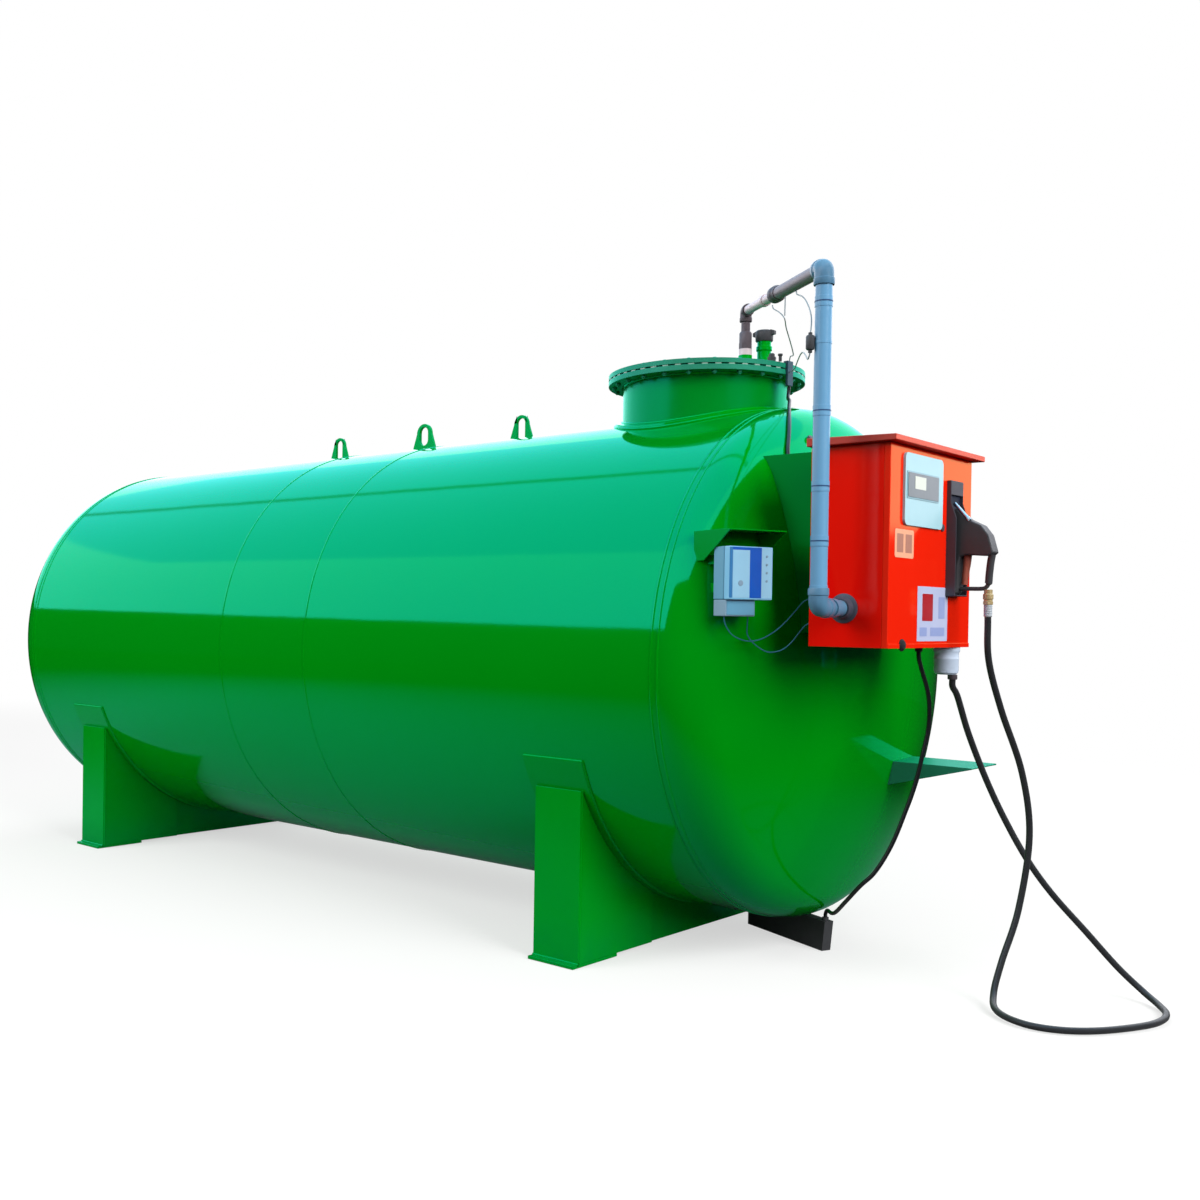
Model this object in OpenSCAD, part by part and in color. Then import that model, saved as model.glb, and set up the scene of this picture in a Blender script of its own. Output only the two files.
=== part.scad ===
// Double-walled horizontal fuel tank on two saddles, with a dispensing cabinet on its front head.
// +X runs along the tank to the cabinet end, +Z is up. The origin is on the ground, under the
// middle of the whole length from the rear head to the nozzle.

/* [Tank] */
// Outside diameter of the outer tank
tank_d = 1900; // [1600:10:2300]
// Length between the weld seams of the two heads
seam_length = 4000; // [3400:10:6000]
// Thickness of the outer shell and heads
shell_t = 5; // [4:0.5:8]
// Gap between the inner and the outer wall
wall_gap = 20; // [10:1:40]
// Thickness of the inner tank's wall
inner_t = 5; // [4:0.5:8]
// Straight flange of each head, up to the knuckle
head_flange = 28; // [20:1:50]
// Knuckle radius of the heads
knuckle_r = 190; // [120:5:260]
// Crown radius of the heads
crown_r = 1900; // [1500:10:2600]
// Length of the shell course next to the front head
front_course = 1750; // [1000:10:2000]
// Length of the short middle course
middle_course = 580; // [300:10:900]
// Height of the tank's axis above the ground
axis_z = 1070; // [1000:5:1500]

/* [Saddles] */
// Distance from each head seam to the middle of its saddle
saddle_inset = 450; // [300:10:900]
// Width of a saddle along the tank
saddle_w = 205; // [150:5:300]
// Distance between the outer faces of a saddle's end plates
saddle_span = 1712; // [1400:10:1780]
// Thickness of the saddle plates
plate_t = 10; // [6:1:16]
// Thickness of the foot plates
foot_t = 12; // [8:1:20]
// Length of a foot plate across the tank
foot_len = 260; // [160:10:400]
// How far a foot plate reaches past the end plate
foot_lip = 30; // [15:5:60]
// Width of the outer box part of a saddle, across the tank
leg_w = 450; // [250:10:600]
// Thickness of the wear plate between saddle and shell
wear_t = 8; // [5:1:14]
// How far the wear plate reaches past the saddle along the tank
wear_lip = 30; // [10:5:60]
// Angle below the horizontal at which the wear plate ends
wear_angle = 21; // [12:1:30]

/* [Manway] */
// Distance from the front head seam to the manway's axis
manway_inset = 414; // [400:5:900]
// Outside diameter of the manway neck
neck_d = 654; // [500:2:720]
// Wall of the manway neck
neck_t = 8; // [6:1:12]
// Outside diameter of the flange and the cover
flange_d = 772; // [740:2:860]
// Thickness of the flange
flange_t = 20; // [14:1:30]
// Height of the flange's top face above the crown of the tank
flange_rise = 155; // [110:5:300]
// Thickness of the gasket
gasket_t = 5; // [3:1:8]
// Thickness of the cover
cover_t = 18; // [12:1:25]
// Width of the reinforcing collar around the neck
collar_w = 30; // [20:2:60]
// Thickness of the reinforcing collar
collar_t = 14; // [8:1:20]

/* [Lifting lugs] */
// Distance between neighbouring lifting lugs
lug_pitch = 620; // [400:10:900]
// Height of an end lug above the crown
lug_h = 118; // [90:2:180]
// Width of an end lug at its foot
lug_w = 140; // [110:2:200]
// Thickness of an end lug
lug_t = 14; // [10:1:24]
// Width of a lug's slot-shaped eye
lug_eye_w = 48; // [40:1:60]
// Size of the middle lug relative to the end lugs
mid_lug_scale = 1.14; // [1:0.02:1.3]

/* [Suction line] */
// Outside diameter of the steel riser and its first run
steel_pipe_d = 34; // [26:1:48]
// Outside diameter of the plastic pipe
plastic_pipe_d = 50; // [40:1:63]
// How far the couplings stand out around the pipe
coupling_step = 6; // [3:1:10]
// Riser's place along the tank, from the manway's axis
riser_x = 238; // [150:2:260]
// Riser's place across the tank, from the manway's axis
riser_y = -100; // [-160:5:0]
// Height of the riser's elbow above the cover
riser_h = 208; // [150:2:300]
// Length of the stub between the cabinet and the down pipe
stub_len = 165; // [120:5:240]
// Height of the top elbow above the cabinet's case
top_elbow_rise = 508; // [440:4:640]

/* [Cabinet] */
// Width of the cabinet's case
cab_w = 622; // [520:2:800]
// Height of the cabinet's case
cab_h = 622; // [520:2:800]
// Depth of the cabinet's case, door included
cab_d = 260; // [200:2:320]
// Sheet thickness of the cabinet
cab_t = 2.5; // [1.5:0.5:4]
// Middle of the cabinet across the tank
cab_y = -409; // [-500:1:-300]
// Underside of the case above the ground
cab_z = 1147; // [1100:1:1300]
// Back of the case, from the front head seam
cab_gap = 437; // [430:1:520]
// Overhang of the roof at its front
roof_front = 30; // [10:1:60]
// Overhang of the roof at its sides
roof_side = 34; // [10:1:60]
// Height of the roof at its front edge
roof_h = 18; // [14:1:40]

/* [Dispenser] */
// Width of the display panel
panel_w = 282; // [200:2:320]
// Height of the display panel
panel_h = 222; // [160:2:260]
// Width of the nozzle boot
boot_w = 100; // [80:2:130]
// Height of the nozzle boot
boot_h = 375; // [365:5:420]
// Depth of the nozzle boot's pocket
boot_d = 32; // [28:1:44]
// Diameter of the filter under the cabinet
filter_d = 86; // [70:1:110]
// Height of the filter
filter_h = 92; // [80:1:140]
// Outside diameter of the delivery hose
hose_d = 21; // [18:1:30]

/* [Leak detector] */
// Width of the detector's case
detector_w = 168; // [140:2:220]
// Height of the detector's case
detector_h = 168; // [140:2:220]
// Depth of the detector's case
detector_d = 84; // [60:2:100]
// Turn of the detector and its hood, with the slope of the dished head
detector_turn = -22; // [-30:1:-14]
// Width of the hood over the detector
hood_w = 224; // [190:2:280]
// Thickness of the hood and its cheeks
hood_t = 4; // [3:0.5:6]

/* [Shelf] */
// Depth of the shelf, from the front head seam to its front edge
shelf_reach = 650; // [560:5:760]
// Width of the shelf
shelf_w = 230; // [160:5:320]
// Thickness of the shelf and its gusset
shelf_t = 5; // [4:0.5:8]

/* [Hidden] */
$fn = 96;
seat = 0.3;
tank_r = tank_d / 2;
wall_offset = shell_t + wall_gap;
inner_r = tank_r - wall_offset;
rear_course = seam_length - front_course - middle_course;
crown_angle = asin((tank_r - knuckle_r) / (crown_r - knuckle_r));
crown_centre = head_flange - (crown_r - knuckle_r) * cos(crown_angle);
head_depth = crown_centre + crown_r;
crown_z = axis_z + tank_r;

nozzle_reach = 142;
tank_x = (head_depth - cab_gap - cab_d - nozzle_reach) / 2;
front_seam = tank_x + seam_length / 2;
rear_seam = tank_x - seam_length / 2;

front_saddle_x = front_seam - saddle_inset;
rear_saddle_x = rear_seam + saddle_inset;
wear_r = tank_r + wear_t;
end_inner = saddle_span / 2 - plate_t;
end_top = axis_z - sqrt(pow(wear_r, 2) - pow(end_inner, 2));

manway_x = front_seam - manway_inset;
flange_z = crown_z + flange_rise;
cover_z = flange_z + gasket_t;
cover_top = cover_z + cover_t;

cab_back = front_seam + cab_gap;
cab_front = cab_back + cab_d;
cab_left = cab_y - cab_w / 2;
cab_right = cab_y + cab_w / 2;
cab_top = cab_z + cab_h;

riser_top = cover_top + riser_h;
down_x = cab_back + 118;
down_y = cab_left - stub_len;
stub_z = cab_z + 120;
top_elbow_z = cab_top + top_elbow_rise;
elbow_d = plastic_pipe_d + 2 * coupling_step;

panel_y = cab_left + 88 + panel_w / 2;
panel_z = cab_top - 22 - panel_h;
boot_y = cab_right - 152;
boot_z = cab_top - 80 - boot_h;
filter_x = cab_front - 44;
filter_y = cab_right - 74;
outlet_x = filter_x + 22;
outlet_z = cab_z - filter_h - 14;
swivel_x = cab_front + 120;
swivel_top = boot_z + 22;
swivel_end = swivel_top - 88;

detector_x = front_seam + 231;
detector_y = -805;
detector_z = 1290;
terminals_h = 52;
hood_z = detector_z + detector_h + 50;

shelf_y = 190;
shelf_z = 715;

// Distance of the dished head's outer face past the seam, at radius r from the tank's axis
function head_x(r) = r < crown_r * sin(crown_angle)
    ? crown_centre + sqrt(crown_r * crown_r - r * r)
    : head_flange + sqrt(max(0, pow(knuckle_r, 2) - pow(r - tank_r + knuckle_r, 2)));

// The dark box on the ground under the front head, turned in plan, and the gland on its top
box_turn = -22.5;
box_w = 460;
box_d = 40;
box_h = 112;
box_x = front_seam - 270;
box_y = 156;
box_gland = [front_seam + 144, 6, box_h + 12];

// Route of the black cable from the gland under the cabinet to the box, x from the cabinet's front
cable_d = 14;
cable_start = [cab_front - 58, -360, cab_z - 14];
cable_points = [
    [-58, -358, 1112], [-59, -338, 1082], [-60, -272, 985], [-66, -251, 888], [-76, -271, 793], [-92, -285, 700],
    [-112, -313, 604], [-142, -348, 492], [-182, -380, 402], [-230, -389, 348], [-300, -350, 278],
    [-380, -255, 216], [-460, -130, 176], [-525, -35, 160]
];
cable_route = concat(
    [cable_start], [for (p = cable_points) p + [cab_front, 0, 0]], [box_gland + [0, 0, 12], box_gland]
);
// Route of the delivery hose, from the filter down to the ground, round and up to the nozzle
hose_points = [
    [-21, -171, 1015], [-14, -145, 980], [-8, -60, 852], [32, 5, 690], [92, 25, 555], [162, 40, 430], [232, 70, 325],
    [322, 120, 210], [412, 160, 100], [492, 160, 35], [552, 110, 14], [592, 30, 14], [600, -60, 14],
    [572, -160, 14], [492, -300, 14], [402, -380, 14], [302, -395, 14], [202, -330, 16],
    [155, -230, 40], [155, -165, 130], [175, -80, 290], [193, -45, 530], [175, -75, 740],
    [142, -180, 950], [124, -246, 1110]
];
hose_route = concat(
    [[outlet_x, filter_y, outlet_z]],
    [for (p = hose_points) p + [cab_front, 0, 0]],
    [[swivel_x, boot_y, swivel_end]]
);

// Clip on the rim of the cover that gathers the thin cables, turned about the manway's axis
clip_turn = -5;
clip_w = 34;
clip_t = 10;
clip_lip = 8;
clip_r = flange_d / 2 + seat + clip_t / 2;
clip_top = cover_top + seat + clip_lip;
clip_bottom = flange_z - flange_t - 42;
clip_at = [manway_x + clip_r * cos(clip_turn), clip_r * sin(clip_turn), 0];
clip_face = [
    manway_x + (clip_r + clip_t / 2) * cos(clip_turn), (clip_r + clip_t / 2) * sin(clip_turn), clip_top - 41
];

// Level sensor strapped to the down pipe, seen from above at 225 degrees
sensor_d = 26;
sensor_h = 60;
sensor_offset = (plastic_pipe_d + sensor_d + 1) / 2 * sqrt(0.5);
sensor_at = [down_x - sensor_offset, down_y - sensor_offset, top_elbow_z - 253];

// Routes of the held cables, x from the front head seam
function from_seam(points) = [for (p = points) p + [front_seam, 0, 0]];
crown_cable_d = 14;
crown_cable_route = concat(
    [clip_at + [0, 0, clip_bottom]],
    from_seam([
        [-24, -40, 2080], [-5, -75, 2056], [32, -130, 2040], [74, -210, 2002], [129, -306, 1950],
        [164, -368, 1897], [185, -409, 1850], [198, -437, 1813], [214, -458, 1764], [231, -472, 1711],
        [248, -478, 1662], [270, -476, 1614], [320, -478, 1570], [385, -480, 1548]
    ]),
    [[cab_back, -480, 1544]]
);
thin_d = 5;
union_cable_route = concat(
    from_seam([
        [112, -408, 2326], [124, -422, 2308], [179, -480, 2278], [231, -535, 2240], [206, -480, 2224],
        [152, -360, 2216], [87, -220, 2212], [28, -100, 2212], [0, -66, 2218], [-17, -44, 2219]
    ]),
    [clip_at + [0, 0, clip_top]]
);
drop_cable_route = from_seam([[235, -540, 2311], [235, -540, 2290], [234, -539, 2268], [234, -539, 2245.5]]);
sensor_cable_route = concat(
    from_seam([
        [336, -650, 2293], [345, -664, 2275], [394, -720, 2251], [449, -790, 2210], [501, -860, 2153],
        [524, -900, 2110]
    ]),
    [sensor_at + [0, 0, sensor_h]]
);
gathered_cable_route = concat(
    [sensor_at],
    from_seam([[520, -905, 2012], [495, -866, 2016], [454, -800, 2044], [360, -650, 2091], [210, -400, 2124],
        [79, -180, 2146], [15, -83, 2158]]),
    [clip_face]
);
terminals_z = detector_z - terminals_h;
upper_loop_route = concat(
    from_seam([
        [238, -894, terminals_z], [238, -893, 1226], [240, -884, 1206], [246, -862, 1181], [254, -826, 1166],
        [266, -789, 1159], [288, -761, 1164], [312, -737, 1181], [336, -712, 1207], [358, -694, 1238],
        [380, -690, 1263], [404, -694, 1288]
    ]),
    [[cab_back, -697, 1300]]
);
lower_loop_route = concat(
    from_seam([
        [266, -798, terminals_z], [265, -797, 1226], [260, -790, 1204], [255, -781, 1181], [262, -766, 1159],
        [280, -748, 1138], [302, -734, 1125], [325, -724, 1126], [347, -713, 1135], [368, -700, 1157],
        [388, -690, 1187], [410, -689, 1213]
    ]),
    [[cab_back, -690, 1224]]
);

// ---- Helpers ----

// Places children on the tank's axis, turned so that their Z runs along +X
module on_axis(x) {
    translate([x, 0, axis_z]) rotate([0, 90, 0]) children();
}

// Outer half section of a dished head, radius along X and the tank's axis along Y
module head_section(grow) {
    r = tank_r + grow;
    far = 2 * crown_r;
    square([r, head_flange]);
    intersection() {
        translate([r - knuckle_r - grow, head_flange]) circle(r = knuckle_r + grow);
        translate([0, head_flange]) square([r, r]);
    }
    intersection() {
        translate([0, crown_centre]) circle(r = crown_r + grow);
        translate([0, crown_centre])
            polygon([[0, 0], [far * sin(crown_angle), far * cos(crown_angle)], [0, far * cos(crown_angle)]]);
        square([r, far]);
    }
}

// Dished head of thickness t, its outer face moved by grow from the outer tank's
module dished_head(grow, t) {
    rotate_extrude() difference() {
        head_section(grow);
        head_section(grow - t);
        translate([-1, -1]) square([tank_r + grow - t + 1, 1 + head_flange / 2]);
    }
}

// The space inside the front head's outer face, used to trim what is welded to it
module front_head_space() {
    $fn = 360;
    on_axis(front_seam) rotate_extrude() head_section(seat);
}

// Tube along the tank from x0 over a length
module axial_tube(x0, length, r, t) {
    on_axis(x0) difference() {
        cylinder(r = r, h = length);
        translate([0, 0, -1]) cylinder(r = r - t, h = length + 2);
    }
}

// Upright cylinder on the manway's axis
module manway_rod(d, z0, z1) {
    translate([manway_x, 0, z0]) cylinder(d = d, h = z1 - z0);
}

// Round bar from point a to point b
module bar(a, b, d) {
    v = b - a;
    length = norm(v);
    translate(a)
        rotate([0, acos(v[2] / length), atan2(v[1], v[0])])
            cylinder(d = d, h = length);
}

// ---- Tubes swept along a route ----

// Point of a smooth curve through the route, s from 0 to the number of spans
function route_point(p, s) =
    let (
        n = len(p) - 1,
        i = min(floor(s), n - 1),
        t = s - i,
        b = p[i],
        c = p[i + 1],
        a = i > 0 ? p[i - 1] : 2 * b - c,
        d = i < n - 1 ? p[i + 2] : 2 * c - b
    )
    0.5 * (2 * b + (c - a) * t + (2 * a - 5 * b + 4 * c - d) * t * t
        + (3 * b - a - 3 * c + d) * t * t * t);

function unit(v) = v / norm(v);

// Sideways directions carried along the curve without twist
function carried(q, i, side) = i >= len(q) ? []
    : let (
        along = unit(q[min(i + 1, len(q) - 1)] - q[max(i - 1, 0)]),
        flat = unit(side - (side * along) * along)
    )
    concat([[along, flat]], carried(q, i + 1, flat));

// Round tube of diameter d along the route, as one closed polyhedron
module swept_tube(route, d, per_span, sides) {
    last = (len(route) - 1) * per_span;
    q = [for (k = [0:last]) route_point(route, k / per_span)];
    frames = carried(q, 0, [0.3, 1, 0.2]);
    points = [
        for (k = [0:last], j = [0:sides - 1])
            let (w = cross(frames[k][0], frames[k][1]), a = 360 * j / sides)
            q[k] + d / 2 * (cos(a) * frames[k][1] + sin(a) * w)
    ];
    walls = [
        for (k = [0:last - 1], j = [0:sides - 1])
            let (m = (j + 1) % sides)
            [k * sides + j, (k + 1) * sides + j, (k + 1) * sides + m, k * sides + m]
    ];
    start = [for (j = [0:sides - 1]) j];
    end = [for (j = [sides - 1:-1:0]) last * sides + j];
    polyhedron(points, concat([start], walls, [end]));
}

// ---- Tank ----

module outer_shell_front() {
    color("mediumseagreen") difference() {
        axial_tube(front_seam - front_course, front_course, tank_r, shell_t);
        manway_rod(neck_d, axis_z, flange_z);
    }
}

module outer_shell_middle() {
    color("mediumseagreen")
        axial_tube(rear_seam + rear_course, middle_course, tank_r, shell_t);
}

module outer_shell_rear() {
    color("mediumseagreen") axial_tube(rear_seam, rear_course, tank_r, shell_t);
}

module front_head() {
    color("green") on_axis(front_seam) dished_head(0, shell_t);
}

module rear_head() {
    color("green") on_axis(rear_seam) mirror([0, 0, 1]) dished_head(0, shell_t);
}

module inner_shell() {
    color("silver") difference() {
        axial_tube(rear_seam, seam_length, inner_r, inner_t);
        manway_rod(neck_d, axis_z, flange_z);
    }
}

module inner_heads() {
    color("silver") {
        on_axis(front_seam) dished_head(-wall_offset, inner_t);
        on_axis(rear_seam) mirror([0, 0, 1]) dished_head(-wall_offset, inner_t);
    }
}

// Hoops that hold the inner tank in the outer one
module wall_spacers() {
    spacer_w = 40;
    color("gray") for (k = [0.08, 0.36, 0.64, 0.99])
        axial_tube(
            rear_seam + k * seam_length - spacer_w / 2, spacer_w, tank_r - shell_t - seat, wall_gap - seat
        );
}

// ---- Saddles ----

// Cuts its children to the underside of the wear plate
module under_tank() {
    difference() {
        children();
        on_axis(rear_seam) cylinder(r = wear_r, h = seam_length);
    }
}

// Two full-width cross plates of a saddle, behind its side plates
module saddle_webs(x) {
    face = saddle_w / 2 - plate_t;
    color("darkgreen") under_tank() for (side = [-1, 1])
        translate([x + side * (face - plate_t / 2) - plate_t / 2, -end_inner, foot_t])
            cube([plate_t, 2 * end_inner, end_top - foot_t]);
}

// Outer plates that make each end of a saddle a box
module saddle_side_plates(x) {
    width = leg_w - plate_t;
    color("darkgreen") under_tank() for (side = [-1, 1], across = [-1, 1])
        translate([
            x + side * (saddle_w - plate_t) / 2 - plate_t / 2,
            across * (end_inner - width / 2) - width / 2,
            foot_t
        ])
            cube([plate_t, width, end_top - foot_t]);
}

module saddle_end_plates(x) {
    color("green") for (across = [-1, 1])
        translate([x - saddle_w / 2, across * (end_inner + plate_t / 2) - plate_t / 2, foot_t])
            cube([saddle_w, plate_t, end_top - foot_t]);
}

module saddle_feet(x) {
    middle = saddle_span / 2 + foot_lip - foot_len / 2;
    color("lightseagreen") for (across = [-1, 1])
        translate([x - saddle_w / 2, across * middle - foot_len / 2, 0])
            cube([saddle_w, foot_len, foot_t]);
}

// Curved plate between the saddle and the shell
module wear_plate(x) {
    width = saddle_w + 2 * wear_lip;
    height = wear_r * sin(wear_angle);
    $fn = 360;
    color("seagreen") difference() {
        axial_tube(x - width / 2, width, wear_r, wear_t);
        translate([x - width, -2 * tank_r, axis_z - height]) cube([2 * width, 4 * tank_r, 2 * tank_r]);
    }
}

// ---- Manway ----

module manway_neck() {
    $fn = 360;
    color("forestgreen") difference() {
        manway_rod(neck_d, axis_z, flange_z);
        manway_rod(neck_d - 2 * neck_t, axis_z - 1, flange_z + 1);
        on_axis(rear_seam) cylinder(r = inner_r - inner_t, h = 2 * seam_length);
    }
}

// Reinforcing collar that follows the shell around the neck
module manway_collar() {
    color("darkgreen") difference() {
        intersection() {
            manway_rod(neck_d + 2 * collar_w, axis_z, flange_z);
            on_axis(tank_x) cylinder(r = tank_r + collar_t, h = seam_length);
        }
        manway_rod(neck_d, axis_z - 1, flange_z + 1);
        on_axis(rear_seam) cylinder(r = tank_r, h = 2 * seam_length);
    }
}

module manway_flange() {
    color("darkgreen") difference() {
        manway_rod(flange_d, flange_z - flange_t, flange_z);
        manway_rod(neck_d, flange_z - flange_t - 1, flange_z + 1);
    }
}

module manway_gasket() {
    color("black") difference() {
        manway_rod(neck_d + 24, flange_z, cover_z);
        manway_rod(neck_d - 2 * neck_t, flange_z - 1, cover_z + 1);
    }
}

module manway_cover() {
    color("seagreen") manway_rod(flange_d, cover_z, cover_top);
}

// ---- Lifting lugs ----

// Outline of a lifting lug: tapered, with a round top and a tall slot for its eye
module lug_outline(eye_foot) {
    top_r = 0.3 * lug_w;
    sink = 2;
    eye_top = lug_h - 0.1 * lug_w - lug_eye_w / 2;
    difference() {
        union() {
            translate([0, lug_h - top_r]) circle(r = top_r);
            polygon([
                [-lug_w / 2, -sink], [lug_w / 2, -sink], [top_r, lug_h - top_r], [-top_r, lug_h - top_r]
            ]);
        }
        translate([0, eye_top]) circle(d = lug_eye_w);
        translate([0, eye_foot]) circle(d = lug_eye_w);
        translate([-lug_eye_w / 2, eye_foot]) square([lug_eye_w, eye_top - eye_foot]);
    }
}

// Upright plate on the crown, k times the size of an end lug
module lifting_lug(x, k, eye_foot) {
    color("darkgreen") difference() {
        translate([x, 0, crown_z]) scale(k) rotate([90, 0, 0]) translate([0, 0, -lug_t / 2])
            linear_extrude(lug_t) lug_outline(eye_foot);
        on_axis(rear_seam) cylinder(r = tank_r, h = seam_length);
    }
}

// ---- Suction line and cover fittings ----

riser_at = [manway_x + riser_x, riser_y, 0];
riser_bend = [riser_at[0], riser_at[1], riser_top];
top_bend = [down_x, down_y, top_elbow_z];
union_at = 0.49;
union_point = riser_bend + union_at * (top_bend - riser_bend);
valve_at = [manway_x + 284, -40, cover_top];
valve_h = 106;

module fill_valve() {
    color("seagreen") translate(valve_at) {
        cylinder(d = 60, h = 14);
        cylinder(d = 44, h = valve_h);
    }
}

module fill_cap() {
    color("black") translate(valve_at + [0, 0, valve_h]) {
        cylinder(d = 66, h = 34);
        translate([-46, -9, 12]) cube([92, 18, 20]);
    }
}

// Socket on the cover, riser and its elbow
module suction_riser() {
    socket_d = steel_pipe_d + 18;
    color("dimgray") {
        translate([riser_at[0], riser_at[1], cover_top]) cylinder(d = socket_d, h = 70);
        translate([riser_at[0], riser_at[1], cover_top + 70])
            cylinder(d = steel_pipe_d, h = riser_h - 70);
        translate(riser_bend) sphere(d = steel_pipe_d + 14);
    }
}

module steel_suction_pipe() {
    color("slategray") difference() {
        union() {
            bar(riser_bend, union_point, steel_pipe_d);
            bar(
                riser_bend + 0.34 * (top_bend - riser_bend),
                union_point,
                steel_pipe_d + 24
            );
            bar(
                riser_bend + 0.22 * (top_bend - riser_bend),
                riser_bend + 0.27 * (top_bend - riser_bend),
                steel_pipe_d + 14
            );
        }
        translate(riser_bend) sphere(d = steel_pipe_d + 14);
    }
}

// Collar of the top elbow, around the head of the down pipe
module top_collar() {
    height = 54;
    translate(top_bend - [0, 0, height]) cylinder(d = elbow_d, h = height);
}

// Horizontal stub from the bottom elbow into the cabinet
module stub_bar() {
    bar([down_x, down_y, stub_z], [down_x, cab_left + 20, stub_z], plastic_pipe_d);
}

module plastic_suction_pipe() {
    color("lightsteelblue") difference() {
        bar(union_point, top_bend, plastic_pipe_d - 6);
        translate(top_bend) sphere(d = elbow_d);
        top_collar();
    }
}

module down_pipe() {
    color("lightsteelblue") difference() {
        bar([down_x, down_y, stub_z], top_bend, plastic_pipe_d);
        translate(top_bend) sphere(d = elbow_d);
        translate([down_x, down_y, stub_z]) sphere(d = elbow_d);
        stub_bar();
    }
}

// The top elbow and the couplings along the down pipe
module pipe_couplings() {
    coupling_h = 36;
    color("steelblue") {
        translate(top_bend) sphere(d = elbow_d);
        difference() {
            union() {
                top_collar();
                for (k = [0.1, 0.42, 0.58, 0.78, 0.93])
                    translate([down_x, down_y, top_elbow_z + k * (stub_z - top_elbow_z) - coupling_h / 2])
                        cylinder(d = plastic_pipe_d + coupling_step, h = coupling_h);
            }
            bar([down_x, down_y, stub_z], top_bend, plastic_pipe_d);
        }
    }
}

// Elbow below the down pipe and the stub that runs into the cabinet
module cabinet_stub() {
    color("steelblue") {
        translate([down_x, down_y, stub_z]) sphere(d = elbow_d);
        stub_bar();
    }
}

module wall_boss() {
    boss_t = 16;
    color("dimgray") difference() {
        bar([down_x, cab_left - boss_t, stub_z], [down_x, cab_left, stub_z], 92);
        bar([down_x, cab_left - boss_t - 1, stub_z], [down_x, cab_left + 1, stub_z], plastic_pipe_d);
    }
}

// ---- Sensor and its cables ----

// Clip over the rim: a plate outside the flange and a lip on the cover
module rim_clip() {
    lip_reach = clip_t + seat + 10;
    color("darkslategray") translate([manway_x, 0, 0]) rotate([0, 0, clip_turn]) {
        translate([clip_r - clip_t / 2, -clip_w / 2, clip_bottom]) cube([clip_t, clip_w, clip_top - clip_bottom]);
        translate([clip_r + clip_t / 2 - lip_reach, -clip_w / 2, cover_top + seat])
            cube([lip_reach, clip_w, clip_lip]);
    }
}

module crown_cable() {
    color("black") swept_tube(crown_cable_route, crown_cable_d, 2, 8);
}

module sensor_cables() {
    color("dimgray") {
        swept_tube(union_cable_route, thin_d, 2, 6);
        swept_tube(drop_cable_route, thin_d, 1, 6);
        swept_tube(sensor_cable_route, thin_d, 2, 6);
        swept_tube(gathered_cable_route, thin_d, 2, 6);
    }
}

// Black sensor body with a gland at each end, and its strap around the down pipe
module level_sensor() {
    gland_h = 8;
    strap_h = 14;
    strap_t = 3;
    color("black") {
        translate(sensor_at) cylinder(d = sensor_d / 2, h = sensor_h);
        translate(sensor_at + [0, 0, gland_h]) cylinder(d = sensor_d, h = sensor_h - 2 * gland_h);
        translate([down_x, down_y, sensor_at[2] + (sensor_h - strap_h) / 2]) difference() {
            cylinder(d = plastic_pipe_d + 2 * (seat + strap_t), h = strap_h);
            translate([0, 0, -1]) cylinder(d = plastic_pipe_d + 2 * seat, h = strap_h + 2);
        }
    }
}

// ---- Cabinet ----

door_t = 20;

module cabinet_case() {
    inner = [cab_d - door_t, cab_w - 2 * cab_t, cab_h - 2 * cab_t];
    color("firebrick") difference() {
        translate([cab_back, cab_left, cab_z]) cube([cab_d - door_t, cab_w, cab_h]);
        translate([cab_back + cab_t, cab_left + cab_t, cab_z + cab_t]) cube(inner);
        bar([down_x, cab_left - 1, stub_z], [down_x, cab_left + 30, stub_z], plastic_pipe_d);
    }
}

module cabinet_front() {
    color("red") translate([cab_front - door_t, cab_left, cab_z]) cube([door_t, cab_w, cab_h]);
}

// Roof that falls a little towards the front
module cabinet_roof() {
    depth = cab_d + roof_front;
    fall = 8;
    color("tomato") translate([cab_back, cab_right + roof_side, cab_top]) rotate([90, 0, 0])
        linear_extrude(cab_w + 2 * roof_side)
            polygon([[0, 0], [depth, 0], [depth, roof_h], [0, roof_h + fall]]);
}

// Two steel angles that carry the cabinet on the dished head
module cabinet_brackets() {
    width = 46;
    inset = 180;
    color("darkgreen") difference() {
        for (y = [cab_left + inset, cab_right - inset - width])
            translate([front_seam, y, cab_z + 40]) cube([cab_gap, width, cab_h - 26]);
        front_head_space();
    }
}

module display_panel() {
    corner = 18;
    depth = 8;
    color("aliceblue") translate([cab_front, panel_y, panel_z]) rotate([90, 0, 90])
        linear_extrude(depth) union() {
            translate([-panel_w / 2, corner]) square([panel_w, panel_h - 2 * corner]);
            translate([corner - panel_w / 2, 0]) square([panel_w - 2 * corner, panel_h]);
            for (u = [-1, 1], v = [corner, panel_h - corner])
                translate([u * (panel_w / 2 - corner), v]) circle(r = corner);
        }
}

// ---- Nozzle, hose and filter ----

// Boot that the nozzle hangs in: a shallow back with a pocket, open at its front
module nozzle_boot() {
    wall = 4;
    top_d = 14;
    top_h = 50;
    color("dimgray") difference() {
        translate([cab_front, boot_y + boot_w / 2, boot_z]) rotate([90, 0, 0]) linear_extrude(boot_w)
            polygon([
                [0, 0], [boot_d, 0], [boot_d, boot_h - 120], [top_d, boot_h - 70],
                [top_d, boot_h], [0, boot_h]
            ]);
        translate([cab_front + wall, boot_y - boot_w / 2 + wall, boot_z + wall])
            cube([boot_d, boot_w - 2 * wall, boot_h - top_h]);
    }
}

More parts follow.
